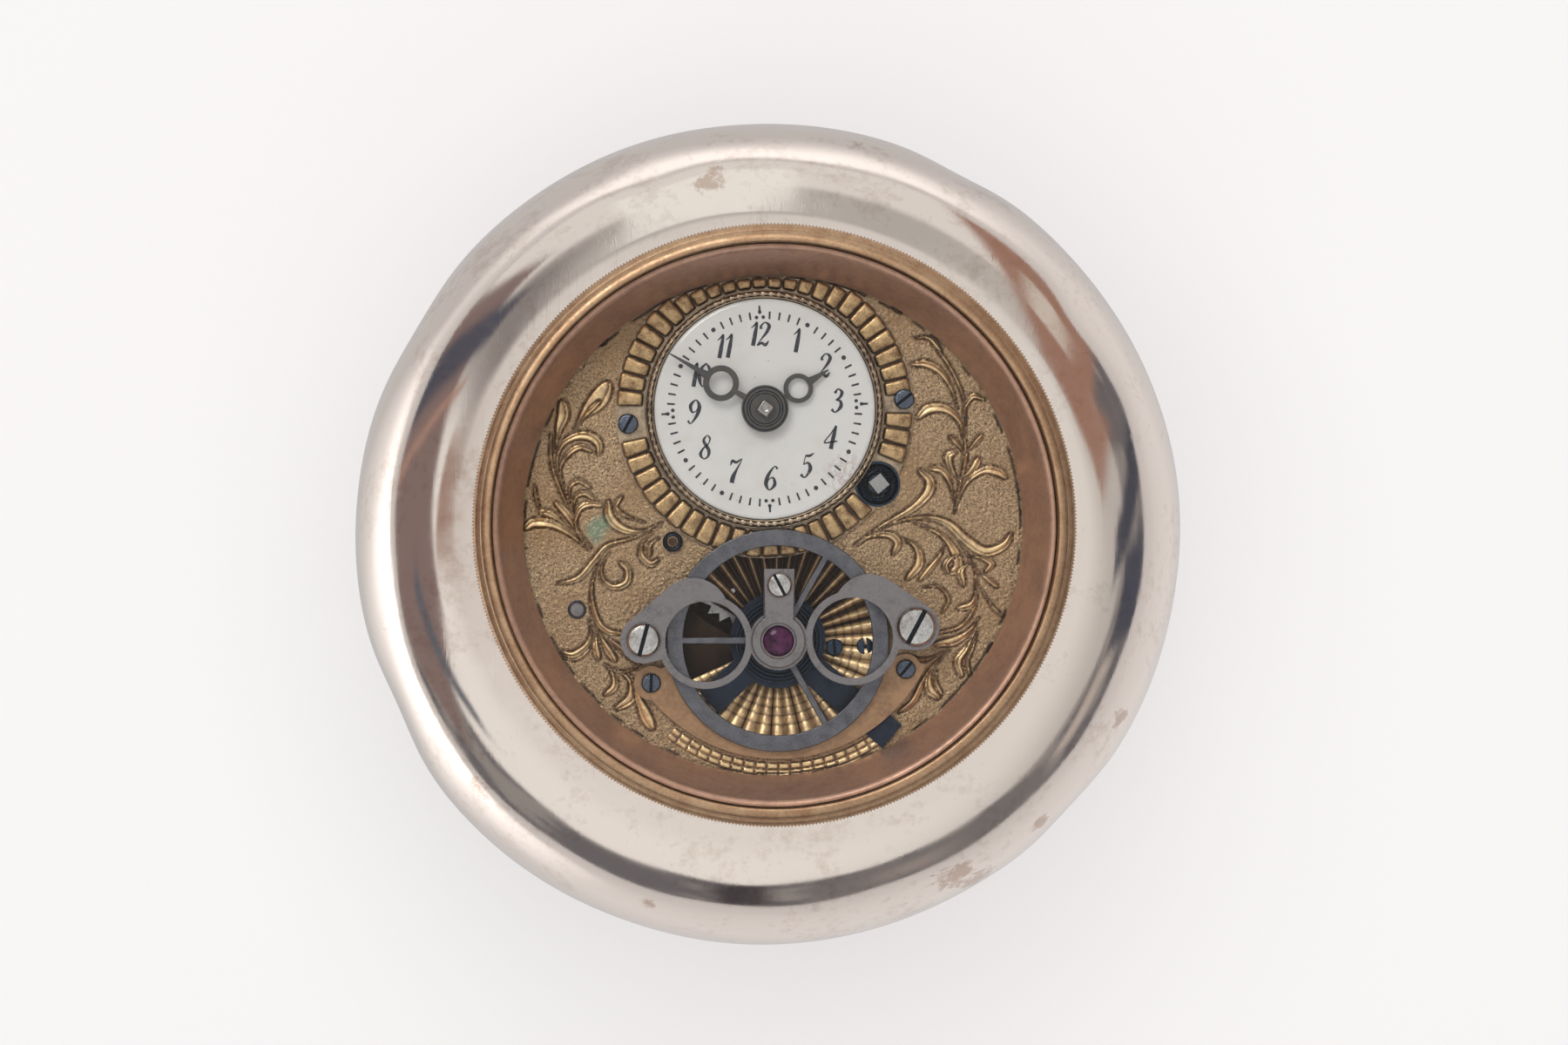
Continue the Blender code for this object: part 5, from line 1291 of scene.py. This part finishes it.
def make_balance():
    """A plain rim with a small hub and three straight arms, on its collet."""
    outer = radius("balance_wheel")
    inner, hub, arm_half = outer - 1.07, 1.05, 0.20
    rim_edge, hub_edge = math.degrees(arm_half / inner), math.degrees(0.24 / hub)
    openings = []
    for start in (60.0, 180.0, 300.0):
        end = start + 120.0
        openings.append(arc(BALANCE, inner, start + rim_edge, end - rim_edge, 40)
                        + arc(BALANCE, hub, end - hub_edge, start + hub_edge, 12))
    heights = (low("balance_wheel").z, high("balance_wheel").z)
    carved("balance_wheel_fine", circle(outer, 180, BALANCE), heights, "grey_steel", "balance",
           ["balance_wheel"], holes=openings + [circle(0.35, 24, BALANCE)], bevel=0.07)
    collet = [(0.0, 31.1), (0.34, 31.1), (0.42, 31.0), (0.42, 30.6), (0.95, 30.55), (1.0, 30.4),
              (0.95, 29.85), (0.62, 29.8), (0.62, 29.2), (0.38, 29.1), (0.38, 28.4), (0.0, 28.4)]
    turned("balance_collet", collet, "polished_steel", "balance", about=BALANCE, sides=64)


def make_hairspring():
    turns, per_turn = 9, 48
    bottom, top, thick = 29.45, 29.62, 0.05
    mesh = bmesh.new()
    rows = []
    for i in range(turns * per_turn + 1):
        distance = 0.72 + 2.1 * i / (turns * per_turn)
        near, far = (polar(out, 75.0 + 360.0 * i / per_turn, BALANCE) for out in (distance, distance + thick))
        rows.append(ring_of(mesh, (near, far), bottom) + ring_of(mesh, (far, near), top))
    skin(mesh, rows)
    add_object("hairspring_fine", mesh, "blued_steel", "root", ["hairspring"], weld=False)


def make_bridge():
    """The spectacle-shaped bridge: two pierced lobes, a foot under each screw, and the stone's cap."""
    bottom, top = heights = (31.2, 31.8)
    x, y = BALANCE
    joins = [([(x - 0.95, y), (x + 1.05, y), (x + 1.05, -2.85), (x - 0.95, -2.85)], heights)]
    cuts = []
    for side, window, lobe in (("left", (-4.4, -7.5), (-5.22, -5.74)), ("right", (5.1, -7.26), (6.2, -5.5))):
        foot = centre(f"bridge_screw_{side}")
        joins += [(circle(3.05, 96, window), heights),
                  (hull(circle(1.5, 48, foot) + circle(2.35, 72, lobe)), heights),
                  (circle(1.2, 32, foot), (PLATE_TOP, bottom + 0.1))]
        cuts.append((circle(2.6, 96, window), (bottom - 0.5, top + 0.5)))
    carved("spectacle_bridge", circle(1.9, 72, BALANCE), heights, "bridge_steel", "root", ["balance_bridge"],
           joins=joins, cuts=cuts, bevel=0.06)
    cap = (low("endstone_cap").z, high("endstone_cap").z)
    tab = [(x - 0.85, y), (x + 0.95, y), (x + 1.05, -2.8), (x - 0.95, -2.8)]
    carved("endstone_cap_fine", circle(1.7, 72, BALANCE), cap, "bridge_steel", "root", ["endstone_cap"],
           joins=[(tab, cap)], cuts=[(circle(1.04, 64, BALANCE), (31, 33))], bevel=0.05)
    stone = [(0.0, 31.86), (1.0, 31.86), *ellipse_arc((0.0, 32.0), (1.0, 0.32), 0, 90, 14)[:-1], (0.0, 32.32)]
    turned("ruby_stone", stone, "ruby", stands_for=["ruby_endstone"], about=BALANCE, sides=64)
    setting = [(0.98, 32.25), (1.02, 32.3), (1.1, 32.3), (1.16, 32.24), (1.16, 32.0), (0.98, 32.0)]
    turned("ruby_setting", setting, "bridge_steel", about=BALANCE, sides=64)


def make_regulator():
    level = (PLATE_TOP + 0.05, PLATE_TOP + 0.3)
    arms = [(bar(7.2, 1.95, -40.0, 2.5, BALANCE), level), (bar(3.5, 1.9, 222.0, 2.5, BALANCE), level)]
    carved("regulator_fine", circle(3.1, 72, BALANCE), level, "index_steel", "regulator", ["regulator_index"],
           holes=[circle(1.5, 48, BALANCE)], joins=arms)
    level = (PLATE_TOP + 0.35, PLATE_TOP + 0.65)
    outline = arc(CRESCENT_CENTRE, 10.63, 211, 335, 72) + arc(BALANCE, 6.95, -8, -168, 72)
    places = [centre(f"crescent_screw_{side}") for side in SIDES]
    ends = [(circle(size, 40, place), level) for size, place in zip((1.12, 1.0), places)]
    feet = [(circle(0.75, 32, place), (PLATE_TOP - 0.1, level[0] + 0.1)) for place in places]
    carved("crescent_fine", outline, level, "copper", "root", ["index_crescent"], joins=ends + feet,
           bevel=0.05)


def make_polished_screws():
    for side, slot_angle in zip(SIDES, (75, 62)):
        node = f"bridge_screw_{side}"
        screw(node, 31.82, (radius(node), 0.34), slot_angle, "bright_steel", dome=0.10)
    screw("endstone_screw", 32.2, (0.78, 0.28), 118, "bright_steel", dome=0.07)


def make_blued_screws():
    for side, slot_angle in zip(SIDES, (88, 50)):
        screw(f"crescent_screw_{side}", PLATE_TOP + 0.67, (0.62, 0.24), slot_angle, "blued_screw")
    for side, slot_angle in zip(SIDES, (62, 38)):
        screw(f"dial_screw_{side}", 29.4, (0.66, 0.28), slot_angle, "blued_screw")
    for place in ("inner", "outer"):
        screw(f"chariot_screw_{place}", 28.5, (0.55, 0.26), 95, "blued_steel", dome=0.04)


def make_bush():
    """The fourth wheel's bush in its sink, and the end of a pillar riveted into the plate."""
    top, plate, pillar = high("fourth_wheel_bush").z, PLATE_TOP, centre("pillar_1")
    sink = [(0.0, top - 0.22), (0.36, top - 0.22), (0.58, top - 0.16), (0.64, top - 0.10),
            (0.66, plate - 0.1), (0.0, plate - 0.1)]
    turned("fourth_bush_sink", sink, "index_steel", about=FOURTH, sides=48)
    bush = [(0.13, top - 0.02), (0.17, top), (0.30, top), (0.34, top - 0.03), (0.35, top - 0.25),
            (0.13, top - 0.25)]
    turned("fourth_bush_fine", bush, "bush_gilt", stands_for=["fourth_wheel_bush"], about=FOURTH, sides=48)
    rivet = [(0.0, plate + 0.04), (0.42, plate + 0.03), (0.5, plate - 0.04), (0.5, plate - 0.2),
             (0.0, plate - 0.2)]
    turned("pillar_rivet", rivet, "bridge_steel", about=pillar, sides=40)
    rim = [(0.5, plate - 0.02), (0.54, plate + 0.01), (0.60, plate), (0.62, plate - 0.15),
           (0.5, plate - 0.15)]
    turned("pillar_rivet_rim", rim, "index_steel", about=pillar, sides=40)


make_balance()
make_hairspring()
make_bridge()
make_polished_screws()
make_regulator()
make_blued_screws()
make_bush()


# ---------------------------------------------------------------- CAD nodes that stay, and what the key light reaches

def light_only_the_movement():
    """The key light models the small parts; the mirror-like silver, the glass and the floor don't get it."""
    unlit = ("silver_shell", "silver_collar", "flat_glass", "floor")
    lit = bpy.data.collections.new("movement")
    for piece in bpy.context.scene.objects:
        if piece.type == "MESH" and piece.name not in unlit:
            lit.objects.link(piece)
    key.light_linking.receiver_collection = lit


def finish_cad_nodes():
    finish_of = {"gilt_brass": "inner_brass_painted_shade", "frosted_gilt": "inner_brass_painted_shade", "worn_silver": "silver",
                 "copper_gilt": "copper", "white_enamel": "enamel", "clear_glass": "glass",
                 "stick_wood": "wood"}
    slots = {entry["node"]: entry["material_slot"] for entry in frame["record"]["subparts"]}
    for name, node in frame["nodes"].items():
        slot = slots[name]
        node.data.materials.clear()
        node.data.materials.append(MATERIAL[finish_of.get(slot, slot)])


finish_cad_nodes()
light_only_the_movement()
